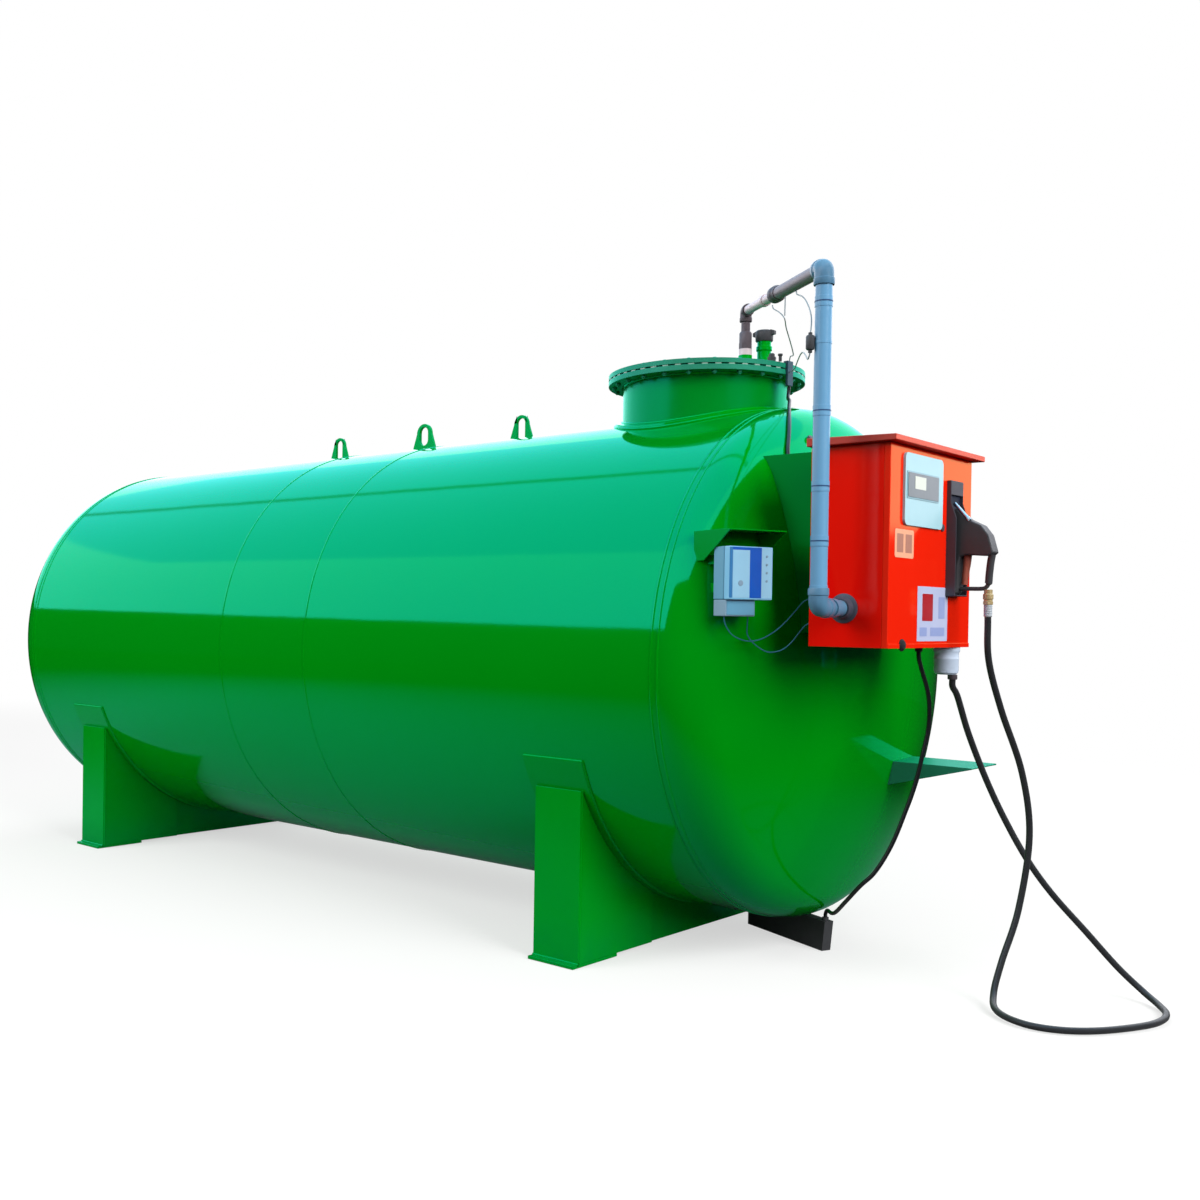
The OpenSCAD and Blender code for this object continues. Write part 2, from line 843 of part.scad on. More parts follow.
// Side view of the nozzle in the X-Z plane: body, handle and the open guard
module nozzle_outline() {
    difference() {
        polygon([
            [14, 262], [44, 262], [58, 252], [102, 228], [126, 196], [nozzle_reach, 140], [130, 131],
            [135, 22], [107, 22], [98, 12], [34, 12], [30, 4], [14, 4]
        ]);
        polygon([[64, 32], [97, 32], [101, 131], [68, 134], [54, 100]]);
    }
}

// Places a flat outline in the X-Z plane at the nozzle, t thick
module at_nozzle(t) {
    translate([cab_front, boot_y + t / 2, boot_z]) rotate([90, 0, 0]) linear_extrude(t) children();
}

module nozzle() {
    color("dimgray") at_nozzle(34) nozzle_outline();
}

// Bare steel spout that goes up into the boot
module nozzle_spout() {
    color("silver") difference() {
        translate([cab_front, boot_y, boot_z]) bar([44, 0, 244], [14, 0, 312], 22);
        at_nozzle(34) nozzle_outline();
    }
}

module nozzle_lever() {
    color("indianred") difference() {
        at_nozzle(14) polygon([[54, 36], [64, 36], [78, 104], [80, 136], [68, 140], [52, 96]]);
        at_nozzle(16) nozzle_outline();
    }
}

module hose_swivel() {
    ferrule_h = 42;
    color("darkgoldenrod") {
        translate([swivel_x, boot_y, swivel_end + ferrule_h])
            cylinder(d = 34, h = swivel_top - swivel_end - ferrule_h);
        translate([swivel_x, boot_y, swivel_end]) cylinder(d = hose_d + 4, h = ferrule_h);
    }
}

module filter() {
    color("aliceblue") {
        translate([filter_x, filter_y, cab_z - filter_h]) cylinder(d = filter_d, h = filter_h - 16);
        translate([filter_x, filter_y, cab_z - 16]) cylinder(d = filter_d + 6, h = 16);
        translate([outlet_x, filter_y, outlet_z]) cylinder(d = 32, h = cab_z - filter_h - outlet_z);
    }
}

module delivery_hose() {
    color("black") swept_tube(hose_route, hose_d, 2, 10);
}

// ---- Supply cable ----

module cable_gland() {
    color("dimgray") translate(cable_start) cylinder(d = 24, h = cab_z - cable_start[2]);
}

module supply_cable() {
    color("black") swept_tube(cable_route, cable_d, 2, 8);
}

// Dark box with one leaning end, and the gland for the cable on its top
module cable_box() {
    lean = 14;
    color("black") {
        translate([box_x, box_y, 0]) rotate([0, 0, box_turn]) translate([0, box_d, 0]) rotate([90, 0, 0])
            linear_extrude(box_d) polygon([[0, 0], [box_w - lean, 0], [box_w, box_h], [0, box_h]]);
        translate([box_gland[0], box_gland[1], box_h]) cylinder(d = 24, h = box_gland[2] - box_h);
    }
}

// ---- Leak detector ----

// Turns its children with the slope of the dished head, at the detector's place
module at_detector(z) {
    translate([detector_x, detector_y, z]) rotate([0, 0, detector_turn]) children();
}

module detector_case() {
    color("aliceblue") at_detector(detector_z)
        translate([-6, -90, 0]) cube([detector_d, detector_w, detector_h]);
}

module detector_terminals() {
    color("lightgray") at_detector(terminals_z)
        translate([-6, -88, 0]) cube([detector_d - 20, 0.68 * detector_w, terminals_h]);
}

// Two thin wires that hang in loops from the terminals to the back of the cabinet
module detector_wires() {
    color("steelblue") {
        swept_tube(upper_loop_route, thin_d, 2, 6);
        swept_tube(lower_loop_route, thin_d, 2, 6);
    }
}

// Rain hood over the detector, a top plate and two sloping cheeks, and the bars behind the case
module detector_hood() {
    back = 105;
    reach = 84;
    left = -97;
    cheek = [[-back, 0], [reach, 0], [-50, -92], [-back, -92]];
    color("green") difference() {
        union() {
            at_detector(hood_z) {
                translate([-back, left, 0]) cube([back + reach, hood_w, hood_t]);
                for (y = [left + hood_t, left + hood_w])
                    translate([0, y, 0]) rotate([90, 0, 0]) linear_extrude(hood_t) polygon(cheek);
            }
            at_detector(detector_z)
                for (z = [24, detector_h - 54])
                    translate([-160, -70, z]) cube([160 - 6, 120, 30]);
        }
        front_head_space();
    }
}

// ---- Shelf ----

module shelf() {
    drop = 100;
    color("mediumseagreen") difference() {
        union() {
            translate([front_seam, shelf_y - shelf_w / 2, shelf_z])
                cube([shelf_reach, shelf_w, shelf_t]);
            for (y = [shelf_y - shelf_w / 2, shelf_y + shelf_w / 2 - shelf_t])
                translate([front_seam, y + shelf_t, shelf_z]) rotate([90, 0, 0])
                    linear_extrude(shelf_t) polygon([[0, 0], [shelf_reach, 0], [280, -drop], [0, -drop]]);
        }
        front_head_space();
    }
}

outer_shell_front();
outer_shell_middle();
outer_shell_rear();
front_head();
rear_head();
inner_shell();
inner_heads();
wall_spacers();
saddle_webs(front_saddle_x);  // front_saddle_webs
saddle_side_plates(front_saddle_x);  // front_saddle_side_plates
saddle_end_plates(front_saddle_x);  // front_saddle_end_plates
saddle_feet(front_saddle_x);  // front_saddle_feet
wear_plate(front_saddle_x);  // front_wear_plate
saddle_webs(rear_saddle_x);  // rear_saddle_webs
saddle_side_plates(rear_saddle_x);  // rear_saddle_side_plates
saddle_end_plates(rear_saddle_x);  // rear_saddle_end_plates
saddle_feet(rear_saddle_x);  // rear_saddle_feet
wear_plate(rear_saddle_x);  // rear_wear_plate
manway_neck();
manway_collar();
manway_flange();
manway_gasket();
manway_cover();
lifting_lug(tank_x - lug_pitch, 1, 0);  // rear_lifting_lug
lifting_lug(tank_x, mid_lug_scale, 50);  // middle_lifting_lug
lifting_lug(tank_x + lug_pitch, 1, 0);  // front_lifting_lug
fill_valve();
fill_cap();
suction_riser();
steel_suction_pipe();
plastic_suction_pipe();
down_pipe();
pipe_couplings();
cabinet_stub();
wall_boss();
cabinet_case();
cabinet_front();
cabinet_roof();
cabinet_brackets();
display_panel();
nozzle_boot();
nozzle();
nozzle_spout();
nozzle_lever();
hose_swivel();
filter();
cable_gland();
supply_cable();
cable_box();
delivery_hose();
rim_clip();
crown_cable();
sensor_cables();
level_sensor();
detector_case();
detector_terminals();
detector_hood();
detector_wires();
shelf();
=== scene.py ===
"""Double-walled fuel tank with a dispensing cabinet: the finished look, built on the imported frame."""

import logging
import math
from collections.abc import Sequence
from dataclasses import dataclass
from enum import Enum

import bpy
from mathutils import Matrix, Vector


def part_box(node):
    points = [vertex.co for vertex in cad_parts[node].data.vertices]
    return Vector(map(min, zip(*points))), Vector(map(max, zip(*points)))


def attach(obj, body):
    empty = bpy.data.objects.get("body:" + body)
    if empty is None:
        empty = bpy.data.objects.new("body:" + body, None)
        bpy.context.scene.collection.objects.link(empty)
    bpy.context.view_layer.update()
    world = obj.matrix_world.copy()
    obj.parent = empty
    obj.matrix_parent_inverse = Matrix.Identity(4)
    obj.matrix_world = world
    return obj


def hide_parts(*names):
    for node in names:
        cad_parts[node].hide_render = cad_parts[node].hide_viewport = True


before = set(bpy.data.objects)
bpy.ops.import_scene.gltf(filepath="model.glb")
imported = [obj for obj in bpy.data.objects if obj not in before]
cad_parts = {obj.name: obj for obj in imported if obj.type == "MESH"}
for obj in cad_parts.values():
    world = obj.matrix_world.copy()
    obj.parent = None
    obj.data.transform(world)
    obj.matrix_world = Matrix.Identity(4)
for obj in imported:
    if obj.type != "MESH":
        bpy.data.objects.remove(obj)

LOG = logging.getLogger("fuel_tank")
BODY = "root"
# Sizes are in metres unless a name ends in _mm or a class says millimetres. Angles are in degrees.
MM = 0.001
UP = Vector((0, 0, 1))
# Points nearer than this are joined: the frame's nodes have doubled ones.
DOUBLED_MM = 0.05
# Edges sharper than this get rounded.
ROUND_FROM = 40
# Steps along a weld bead. Real ripples are 2 to 3 mm apart, and these are coarser so that they show.
BEAD_STEP = 0.008
Rgba = tuple[float, float, float, float]
Triple = tuple[float, float, float]
Tree = bpy.types.NodeTree
Socket = bpy.types.NodeSocket
Piece = bpy.types.Object


class Slot(Enum):
    """The record's material slots."""

    TANK_PAINT = "tank_paint"
    SADDLE_PAINT = "saddle_paint"
    CABINET_PAINT = "cabinet_paint"
    FILTER_PAINT = "filter_paint"
    GALVANIZED_PIPE = "galvanized_pipe"
    BRIGHT_STEEL = "bright_steel"
    BRASS = "brass"
    PIPE_PLASTIC = "pipe_plastic"
    PANEL_PLASTIC = "panel_plastic"
    BLACK_PLASTIC = "black_plastic"
    LEVER_PLASTIC = "lever_plastic"
    BLACK_RUBBER = "black_rubber"
    GASKET_RUBBER = "gasket_rubber"


class FarEnd(Enum):
    """What a free cord ends in."""

    OBJECT = "object"
    FITTING = "fitting"


class End(Enum):
    """The tank's two ends, by the word that the frame's names start with."""

    FRONT = "front"
    REAR = "rear"


# ---- Colours, nodes and finishes ----


def linear(shade: str) -> Rgba:
    """Turn a colour written as an sRGB hex value into a linear one.

    Args:
        shade: Six hex digits, with or without a leading hash.

    Returns:
        Linear red, green, blue and an alpha of 1.
    """
    digits = shade.lstrip("#")
    parts = [int(digits[k : k + 2], 16) / 255 for k in (0, 2, 4)]
    red, green, blue = (p / 12.92 if p <= 0.04045 else ((p + 0.055) / 1.055) ** 2.4 for p in parts)
    return red, green, blue, 1.0


def per_metre(size_mm: float) -> float:
    """Give the texture scale whose features are this many millimetres wide."""
    return 1000 / size_mm


def add_node(
    tree: Tree,
    kind: str,
    inputs: dict[str | int, object] | None = None,
    **settings: object,
) -> bpy.types.Node:
    """Add a shader node, set its properties, and fill or link its inputs.

    Args:
        tree: The node tree that gets the node.
        kind: The node's type name.
        inputs: Values or sockets by input name or index. A socket is linked.
        **settings: Properties of the node.

    Returns:
        The new node.
    """
    node = tree.nodes.new(kind)
    for name, value in settings.items():
        setattr(node, name, value)
    for key, value in (inputs or {}).items():
        if isinstance(value, Socket):
            tree.links.new(value, node.inputs[key])
        else:
            node.inputs[key].default_value = value
    return node


@dataclass(frozen=True)
class Finish:
    """A finish: what a surface is made of and how it was made.

    Orange peel in paint is really a few millimetres wide. The grain of plastic, rubber, paper and metal is
    really finer than half a millimetre, and grain_mm draws it coarser so that it shows.
    """

    name: str
    colour: str
    mottle: str
    roughness: float = 0.4
    metallic: float = 0.0
    ior: float = 1.5
    mottle_mm: float = 300.0
    roughness_spread: float = 0.05
    grain_mm: float = 6.0
    grain_depth_mm: float = 0.05

    def material(self) -> bpy.types.Material:
        """Return the material of this finish, which is made only once.

        Returns:
            The material.
        """
        made = bpy.data.materials.get(self.name)
        if made is None:
            made = bpy.data.materials.new(self.name)
            made.use_nodes = True
            made.node_tree.nodes.clear()
            shader = self.shader(made.node_tree)
            add_node(made.node_tree, "ShaderNodeOutputMaterial", {"Surface": shader.outputs[0]})
        return made

    def shader(self, tree: Tree) -> bpy.types.Node:
        """Build the shader of this finish from its colour, roughness and grain.

        Args:
            tree: The material's node tree.

        Returns:
            The shader node.
        """
        return add_node(
            tree,
            "ShaderNodeBsdfPrincipled",
            {
                "Base Color": self.tint(tree),
                "Roughness": self.gloss(tree),
                "Normal": self.relief(tree),
                "Metallic": self.metallic,
                "IOR": self.ior,
                **self.extras(),
            },
        )

    def extras(self) -> dict[str, object]:
        """Give further constant inputs of the shader."""
        return {}

    def place(self, tree: Tree) -> Socket:
        """Give the point in metres that every pattern is laid out by."""
        return add_node(tree, "ShaderNodeTexCoord").outputs["Object"]

    def tint(self, tree: Tree) -> Socket:
        """Blend the main colour with its mottle in soft patches.

        Args:
            tree: The material's node tree.

        Returns:
            The colour.
        """
        patches = add_node(
            tree,
            "ShaderNodeTexNoise",
            {"Vector": self.place(tree), "Scale": per_metre(self.mottle_mm), "Detail": 4.0, "Roughness": 0.6},
        )
        return add_node(
            tree,
            "ShaderNodeMix",
            {0: patches.outputs["Fac"], 6: linear(self.colour), 7: linear(self.mottle)},
            data_type="RGBA",
        ).outputs[2]

    def gloss(self, tree: Tree) -> Socket:
        """Vary the roughness a little around its mean, as handling and dust do.

        Args:
            tree: The material's node tree.

        Returns:
            The roughness.
        """
        patches = add_node(
            tree,
            "ShaderNodeTexNoise",
            {"Vector": self.place(tree), "Scale": per_metre(self.mottle_mm * 0.4), "Detail": 5.0},
        )
        return add_node(
            tree,
            "ShaderNodeMapRange",
            {
                "Value": patches.outputs["Fac"],
                "To Min": max(0.02, self.roughness - self.roughness_spread),
                "To Max": self.roughness + self.roughness_spread,
            },
        ).outputs["Result"]

    def relief(self, tree: Tree) -> Socket:
        """Raise the fine grain of the surface as a bump.

        Args:
            tree: The material's node tree.

        Returns:
            The normal.
        """
        grain = add_node(
            tree,
            "ShaderNodeTexNoise",
            {"Vector": self.place(tree), "Scale": per_metre(self.grain_mm), "Detail": 2.0},
        )
        return add_node(
            tree,
            "ShaderNodeBump",
            {"Height": grain.outputs["Fac"], "Strength": 1.0, "Distance": self.grain_depth_mm * MM},
        ).outputs["Normal"]


@dataclass(frozen=True)
class SprayedEnamel(Finish):
    """Enamel sprayed on plate: a wet gloss that shows how the plate is pulled by its welds."""

    ior: float = 1.8
    glaze: str = "#08fff0"
    glaze_ior: float = 1.07
    wave_mm: float = 420.0
    wave_depth_mm: float = 1.2
    # dust pales the faces that look up: partly dust, partly a painted highlight standing in for the sky's
    # reflection.
    dust: float = 0.05
    dust_and_highlight_colour: str = "#b9c8b4"
    dust_and_highlight_from: float = 0.75
    # soil darkens to a ragged brown low down: partly soil, partly painted shade and reflection of the ground.
    soil: float = 0.5
    soil_and_shade_colour: str = "#4c5a3c"
    soil_and_shade_height: float = 0.16
    soil_and_shade_mm: float = 90.0

    def extras(self) -> dict[str, object]:
        """Add the tinted top glaze, through which the gloss takes the pigment's own blue-green."""
        return {
            "Coat Weight": 1.0,
            "Coat Tint": linear(self.glaze),
            "Coat IOR": self.glaze_ior,
            "Coat Roughness": self.roughness,
        }

    def tint(self, tree: Tree) -> Socket:
        """Pale the faces that look up, partly with dust and partly as a painted highlight of the sky, and
        darken low down in ragged brown patches, partly soil and partly painted shade and reflection of the
        ground.

        Args:
            tree: The material's node tree.

        Returns:
            The colour.
        """
        paint = super().tint(tree)
        geometry = add_node(tree, "ShaderNodeNewGeometry")
        facing = add_node(tree, "ShaderNodeSeparateXYZ", {0: geometry.outputs["Normal"]})
        # Painted highlight together with dust: faces that look up are paled.
        dust_and_highlight_mask = add_node(
            tree,
            "ShaderNodeMapRange",
            {"Value": facing.outputs["Z"], "From Min": self.dust_and_highlight_from, "From Max": 1.0, "To Max": self.dust},
        )
        dusty = add_node(
            tree,
            "ShaderNodeMix",
            {0: dust_and_highlight_mask.outputs["Result"], 6: paint, 7: linear(self.dust_and_highlight_colour)},
            data_type="RGBA",
        )
        # Painted shade together with soil: ragged brown patches low down.
        height = add_node(tree, "ShaderNodeSeparateXYZ", {0: self.place(tree)})
        ragged = add_node(
            tree,
            "ShaderNodeTexNoise",
            {"Vector": self.place(tree), "Scale": per_metre(self.soil_and_shade_mm), "Detail": 6.0},
        )
        low = add_node(
            tree,
            "ShaderNodeMapRange",
            {
                "Value": height.outputs["Z"],
                "From Min": self.soil_and_shade_height,
                "From Max": 0.0,
                "To Max": self.soil,
            },
        )
        soil_and_shade_mask = add_node(
            tree,
            "ShaderNodeMath",
            {0: low.outputs["Result"], 1: ragged.outputs["Fac"]},
            operation="MULTIPLY",
        )
        return add_node(
            tree,
            "ShaderNodeMix",
            {0: soil_and_shade_mask.outputs[0], 6: dusty.outputs[2], 7: linear(self.soil_and_shade_colour)},
            data_type="RGBA",
        ).outputs[2]

    def relief(self, tree: Tree) -> Socket:
        """Lay orange peel over the long waves that welding leaves in the plate.

        Args:
            tree: The material's node tree.

        Returns:
            The normal.
        """
        wave = add_node(
            tree,
            "ShaderNodeTexNoise",
            {"Vector": self.place(tree), "Scale": per_metre(self.wave_mm), "Detail": 1.0},
        )
        pulled = add_node(
            tree,
            "ShaderNodeBump",
            {"Height": wave.outputs["Fac"], "Strength": 1.0, "Distance": self.wave_depth_mm * MM},
        )
        peel = add_node(
            tree,
            "ShaderNodeTexNoise",
            {"Vector": self.place(tree), "Scale": per_metre(self.grain_mm), "Detail": 1.0},
        )
        return add_node(
            tree,
            "ShaderNodeBump",
            {
                "Height": peel.outputs["Fac"],
                "Strength": 1.0,
                "Distance": self.grain_depth_mm * MM,
                "Normal": pulled.outputs["Normal"],
            },
        ).outputs["Normal"]


@dataclass(frozen=True)
class PowderCoat(Finish):
    """Polyester powder baked on folded sheet: an even satin gloss, thinner and paler along the folds."""

    glaze: str = "#ffe6a8"
    glaze_ior: float = 1.05
    edge: str = "#e8543c"
    edge_wear: float = 0.5
    fold_from: float = 0.52
    fold_to: float = 0.62

    def extras(self) -> dict[str, object]:
        """Add the clear top of the powder, through which the gloss takes the pigment's warmth."""
        return {
            "Coat Weight": 1.0,
            "Coat Tint": linear(self.glaze),
            "Coat IOR": self.glaze_ior,
            "Coat Roughness": self.roughness,
        }

    def tint(self, tree: Tree) -> Socket:
        """Let the folds show a paler, thinner coat.

        Args:
            tree: The material's node tree.

        Returns:
            The colour.
        """
        paint = super().tint(tree)
        folds = add_node(
            tree,
            "ShaderNodeMapRange",
            {
                "Value": add_node(tree, "ShaderNodeNewGeometry").outputs["Pointiness"],
                "From Min": self.fold_from,
                "From Max": self.fold_to,
                "To Max": self.edge_wear,
            },
        )
        return add_node(
            tree,
            "ShaderNodeMix",
            {0: folds.outputs["Result"], 6: paint, 7: linear(self.edge)},
            data_type="RGBA",
        ).outputs[2]


@dataclass(frozen=True)
class HotDipZinc(Finish):
    """Zinc from a hot dip: dull, in crystals that differ in gloss, with darker handling marks."""

    spangle_mm: float = 9.0

    def gloss(self, tree: Tree) -> Socket:
        """Give each zinc crystal a roughness of its own.

        Args:
            tree: The material's node tree.

        Returns:
            The roughness.
        """
        crystals = add_node(
            tree, "ShaderNodeTexVoronoi", {"Vector": self.place(tree), "Scale": per_metre(self.spangle_mm)}
        )
        return add_node(
            tree,
            "ShaderNodeMapRange",
            {
                "Value": crystals.outputs["Color"],
                "To Min": self.roughness - self.roughness_spread,
                "To Max": self.roughness + self.roughness_spread,
            },
        ).outputs["Result"]


@dataclass(frozen=True)
class ExtrudedTube(Finish):
    """Extruded or moulded rubber and plastic: smooth and even, with a sheen where the jacket is dusty."""

    sheen_weight: float = 0.0
    sheen_roughness: float = 0.5

    def extras(self) -> dict[str, object]:
        """Add the soft sheen that a dusty rubber jacket has."""
        return {"Sheen Weight": self.sheen_weight, "Sheen Roughness": self.sheen_roughness}


@dataclass(frozen=True)
class ClearWindow(Finish):
    """Polycarbonate window over a display: a glassy coat above its face."""

    coat_weight: float = 0.35
    coat_roughness: float = 0.05

    def extras(self) -> dict[str, object]:
        """Lay a clear coat over the face."""
        return {"Coat Weight": self.coat_weight, "Coat Roughness": self.coat_roughness}


# Enamel sprayed on rolled plate: a mirror gloss, deep green, and blue-green where it shines.
TANK_ENAMEL = SprayedEnamel(
    "gloss_enamel_on_plate", "#028a0a", "#028e0c", 0.07, roughness_spread=0.02, mottle_mm=700
)
# The same enamel on dished heads: dishing leaves deeper waves, so that what it mirrors bends more.
HEAD_ENAMEL = SprayedEnamel(
    "gloss_enamel_on_head", "#02860c", "#028c0a", 0.07, roughness_spread=0.02, mottle_mm=500,
    wave_depth_mm=1.8,
)
# Pale dull dashes between flange and cover: painted glints along the rim.
RIM_GLINT_ENAMEL = Finish("painted_rim_glint", "#8fb0a4", "#7aa092", 0.4, mottle_mm=30)
# Enamel sprayed on a neck rolled tight: the coat is less even, so the shine is broad and soft.
NECK_ENAMEL = SprayedEnamel(
    "gloss_enamel_on_neck", "#04801a", "#067822", 0.24, roughness_spread=0.06, mottle_mm=160, ior=1.55,
    wave_mm=200,
)
# Enamel on cut brackets, darkened as painted shade: a dull dark green.
SHADED_BRACKET_ENAMEL = SprayedEnamel(
    "bracket_enamel_painted_shade", "#03700e", "#026a0c", 0.35, roughness_spread=0.05, mottle_mm=160, ior=1.35,
    wave_mm=160, wave_depth_mm=0.3,
)
# Enamel that has weathered on flat plate: greyed green with soft highlights.
FLANGE_ENAMEL = SprayedEnamel(
    "weathered_enamel_on_flange", "#5e8470", "#527a66", 0.35, roughness_spread=0.08, mottle_mm=60, ior=1.5,
    glaze="#88fff2", wave_mm=160, wave_depth_mm=0.3,
)
# Enamel sprayed on cut and welded sections: the same green with a softer shine than the rolled plate.
STEEL_ENAMEL = SprayedEnamel(
    "gloss_enamel_on_sections", "#04900c", "#04860e", 0.24, roughness_spread=0.05, mottle_mm=200, ior=1.55,
    wave_mm=160, wave_depth_mm=0.4,
)
# Polyester powder baked on folded sheet: a smooth even red, warm where it shines.
CABINET_POWDER = PowderCoat(
    "polyester_powder_on_sheet", "#e60804", "#dc0603", 0.09, roughness_spread=0.02, mottle_mm=350, grain_mm=4,
    grain_depth_mm=0.01, ior=1.6, glaze="#ffe4b4",
)
# The same powder after years of sun on the roof: a faded brick red, nearly dull.
ROOF_POWDER = PowderCoat(
    "polyester_powder_weathered", "#a02a22", "#92241c", 0.35, mottle_mm=120, grain_mm=4, grain_depth_mm=0.04,
    edge="#b86a60", glaze="#ffd8cc",
)
# A pale pinkish line along the roof's front fold.
ROOF_EDGE = PowderCoat(
    "polyester_powder_on_fold", "#cc7c70", "#c07064", 0.4, mottle_mm=60, grain_mm=4, glaze="#ffe4dc"
)
# Steel tube dipped in molten zinc: a pale warm grey, dull in patches the size of its crystals.
ZINC_TUBE = HotDipZinc(
    "hot_dip_zinc_tube", "#dfccd0", "#ccbcc2", 0.5, 0.3, roughness_spread=0.12, mottle_mm=60
)
# Malleable iron, cast and dipped: darker and browner than the tube, with a broken shine.
DARK_ZINC = HotDipZinc(
    "malleable_iron_fitting", "#524a52", "#62585c", 0.5, 0.3, roughness_spread=0.1, mottle_mm=30
)
# Extruded PVC: an even dull blue with one long soft highlight.
PVC_TUBE = ExtrudedTube(
    "pvc_pressure_tube", "#5b8fb6", "#6598bb", 0.3, mottle_mm=200, grain_mm=12, grain_depth_mm=0.05
)
# Moulded PVC: deeper in colour and flatter than the tube.
PVC_SOCKET = ExtrudedTube("moulded_pvc_socket", "#48718f", "#527c98", 0.35, mottle_mm=60, grain_depth_mm=0.05)
# Painted shadow at each socket: a thin dark blue line around the pipe.
PVC_SHADOW_RING = ExtrudedTube("pvc_joint_shadow", "#2f4f78", "#274468", 0.5, mottle_mm=40)
# Extruded rubber: near black, with a dusty sheen towards its edges.
RUBBER_HOSE = ExtrudedTube(
    "rubber_hose_jacket", "#1c1d20", "#26282b", 0.48, mottle_mm=90, grain_mm=3, grain_depth_mm=0.15,
    sheen_weight=0.15,
)
# Extruded grey plastic: a warm mid grey, evenly satin.
GREY_TUBE = ExtrudedTube("grey_pressure_tube", "#665862", "#70606a", 0.45, mottle_mm=120, grain_mm=12)
# Extruded PVC jacket on thin cable: light grey and satin.
WIRE_GREY = ExtrudedTube("sensor_wire_jacket", "#8f9aa0", "#7e898f", 0.45, mottle_mm=60, grain_mm=4)
# Pressed steel, painted: dark slate blue and satin.
CLIP_PAINT = Finish("painted_clip", "#2a4a5c", "#24404f", 0.4, mottle_mm=40, grain_mm=3)
# Extruded PVC jacket on power cable: black with a narrow highlight.
CABLE_JACKET = ExtrudedTube("pvc_cable_jacket", "#101113", "#1b1d20", 0.4, mottle_mm=60, grain_mm=4)
# Extruded PVC jacket on signal wire: a muted teal.
WIRE_JACKET = ExtrudedTube("thin_wire_jacket", "#2a6f86", "#245f78", 0.4, mottle_mm=60, grain_mm=4)
# Rubber pressed in sheets: black and without shine.
RUBBER_GASKET = ExtrudedTube("pressed_rubber", "#1d1f20", "#2a2c2d", 0.7, mottle_mm=40, grain_mm=2)
# Moulded rubber: dark blue-grey with a broad weak highlight.
DARK_RUBBER = ExtrudedTube("moulded_rubber_boss", "#3a3d49", "#454957", 0.5, mottle_mm=40, grain_mm=3)
# Moulded glass-filled nylon: charcoal, its highlights broken by grain.
BLACK_NYLON = Finish("moulded_glass_filled_nylon", "#36373a", "#404144", 0.5, mottle_mm=40, grain_mm=1.6)
# Moulded plastic, open to the light: charcoal and satin.
BOOT_LINER = Finish("moulded_boot_plastic", "#3a3a42", "#42434c", 0.5, mottle_mm=60, grain_mm=2)
# The same plastic darkened deep in the pocket as painted shade: blue-black and dull.
BOOT_POCKET_SHADE = Finish("pocket_plastic_painted_shade", "#181d2c", "#20263a", 0.6, mottle_mm=60, grain_mm=2)
# Polyester film printed on its back: a pale blue-green, smooth and even.
PANEL_FILM = Finish(
    "printed_polyester_film", "#99c3ce", "#a5cbd4", 0.32, mottle_mm=90, grain_mm=2, grain_depth_mm=0.02
)
# Moulded ABS: a shade deeper than the film, so that the bezel stands out.
PANEL_EDGE = Finish("moulded_abs_bezel", "#8fb4c0", "#86abb8", 0.4, mottle_mm=40, grain_mm=2)
# Polycarbonate over a dark face: grey, with a clear gloss on top.
WINDOW = ClearWindow("polycarbonate_window", "#5a646a", "#505a60", 0.3, mottle_mm=40)
# Liquid crystal cell behind the window: a pale warm grey under the same gloss.
WINDOW_LIT = ClearWindow("display_cell", "#ccd0c6", "#c2cabc", 0.35, mottle_mm=20)
# Printed paper: a chalky orange, and its two fields a dusty red-brown.
LABEL_ORANGE = Finish("paper_label_orange", "#e9a985", "#d99a7c", 0.55, mottle_mm=18, grain_mm=2)
LABEL_GREY = Finish("paper_label_grey", "#b07a68", "#9c6f60", 0.55, mottle_mm=18, grain_mm=2)
# Printed vinyl: smoother than paper, a pale violet with red and blue fields.
LABEL_PALE = Finish("vinyl_label_pale", "#b0b8d4", "#a6aece", 0.4, mottle_mm=60, grain_mm=2)
LABEL_RED = Finish("vinyl_label_red", "#a8101c", "#94101c", 0.4, mottle_mm=20, grain_mm=2)
LABEL_BLUE = Finish("vinyl_label_blue", "#8d9cc8", "#8290c0", 0.4, mottle_mm=20, grain_mm=2)
# Moulded ABS: pale blue with a soft shine in front; the back and sides get a duller, deeper copy as painted
# shade.
CASE_ABS = Finish("moulded_abs_case", "#7cc4ea", "#8acbee", 0.3, mottle_mm=60, grain_mm=2)
CASE_SIDE_SHADE = Finish("moulded_abs_painted_side_shade", "#67a6c4", "#609cba", 0.4, mottle_mm=60, grain_mm=2)
# Ink screened on the case: smooth fields of strong, middle and very pale blue.
CASE_BLUE = Finish("printed_blue_field", "#0552b4", "#0a5cc2", 0.3, mottle_mm=60, grain_mm=2)
CASE_DEEP = Finish("printed_mid_blue_field", "#3a80b8", "#3276ae", 0.3, mottle_mm=60, grain_mm=2)
CASE_WHITE = Finish("printed_white_field", "#98cce6", "#8cc4e2", 0.3, mottle_mm=60, grain_mm=2)
# Moulded ABS: a greyer blue than the case, satin.
TERMINAL_ABS = Finish("moulded_abs_terminal", "#86a6bc", "#7e9cb4", 0.45, mottle_mm=40, grain_mm=2)
# Steel can dipped in enamel: a cold near-white with a clean highlight.
FILTER_ENAMEL = Finish("dipped_enamel_can", "#c0d0e6", "#cad8ea", 0.25, mottle_mm=80, grain_mm=5)
# Turned brass, handled: a pale dull gold.
TURNED_BRASS = Finish("turned_brass", "#cdb88a", "#bca678", 0.4, 0.4, roughness_spread=0.1, mottle_mm=20)
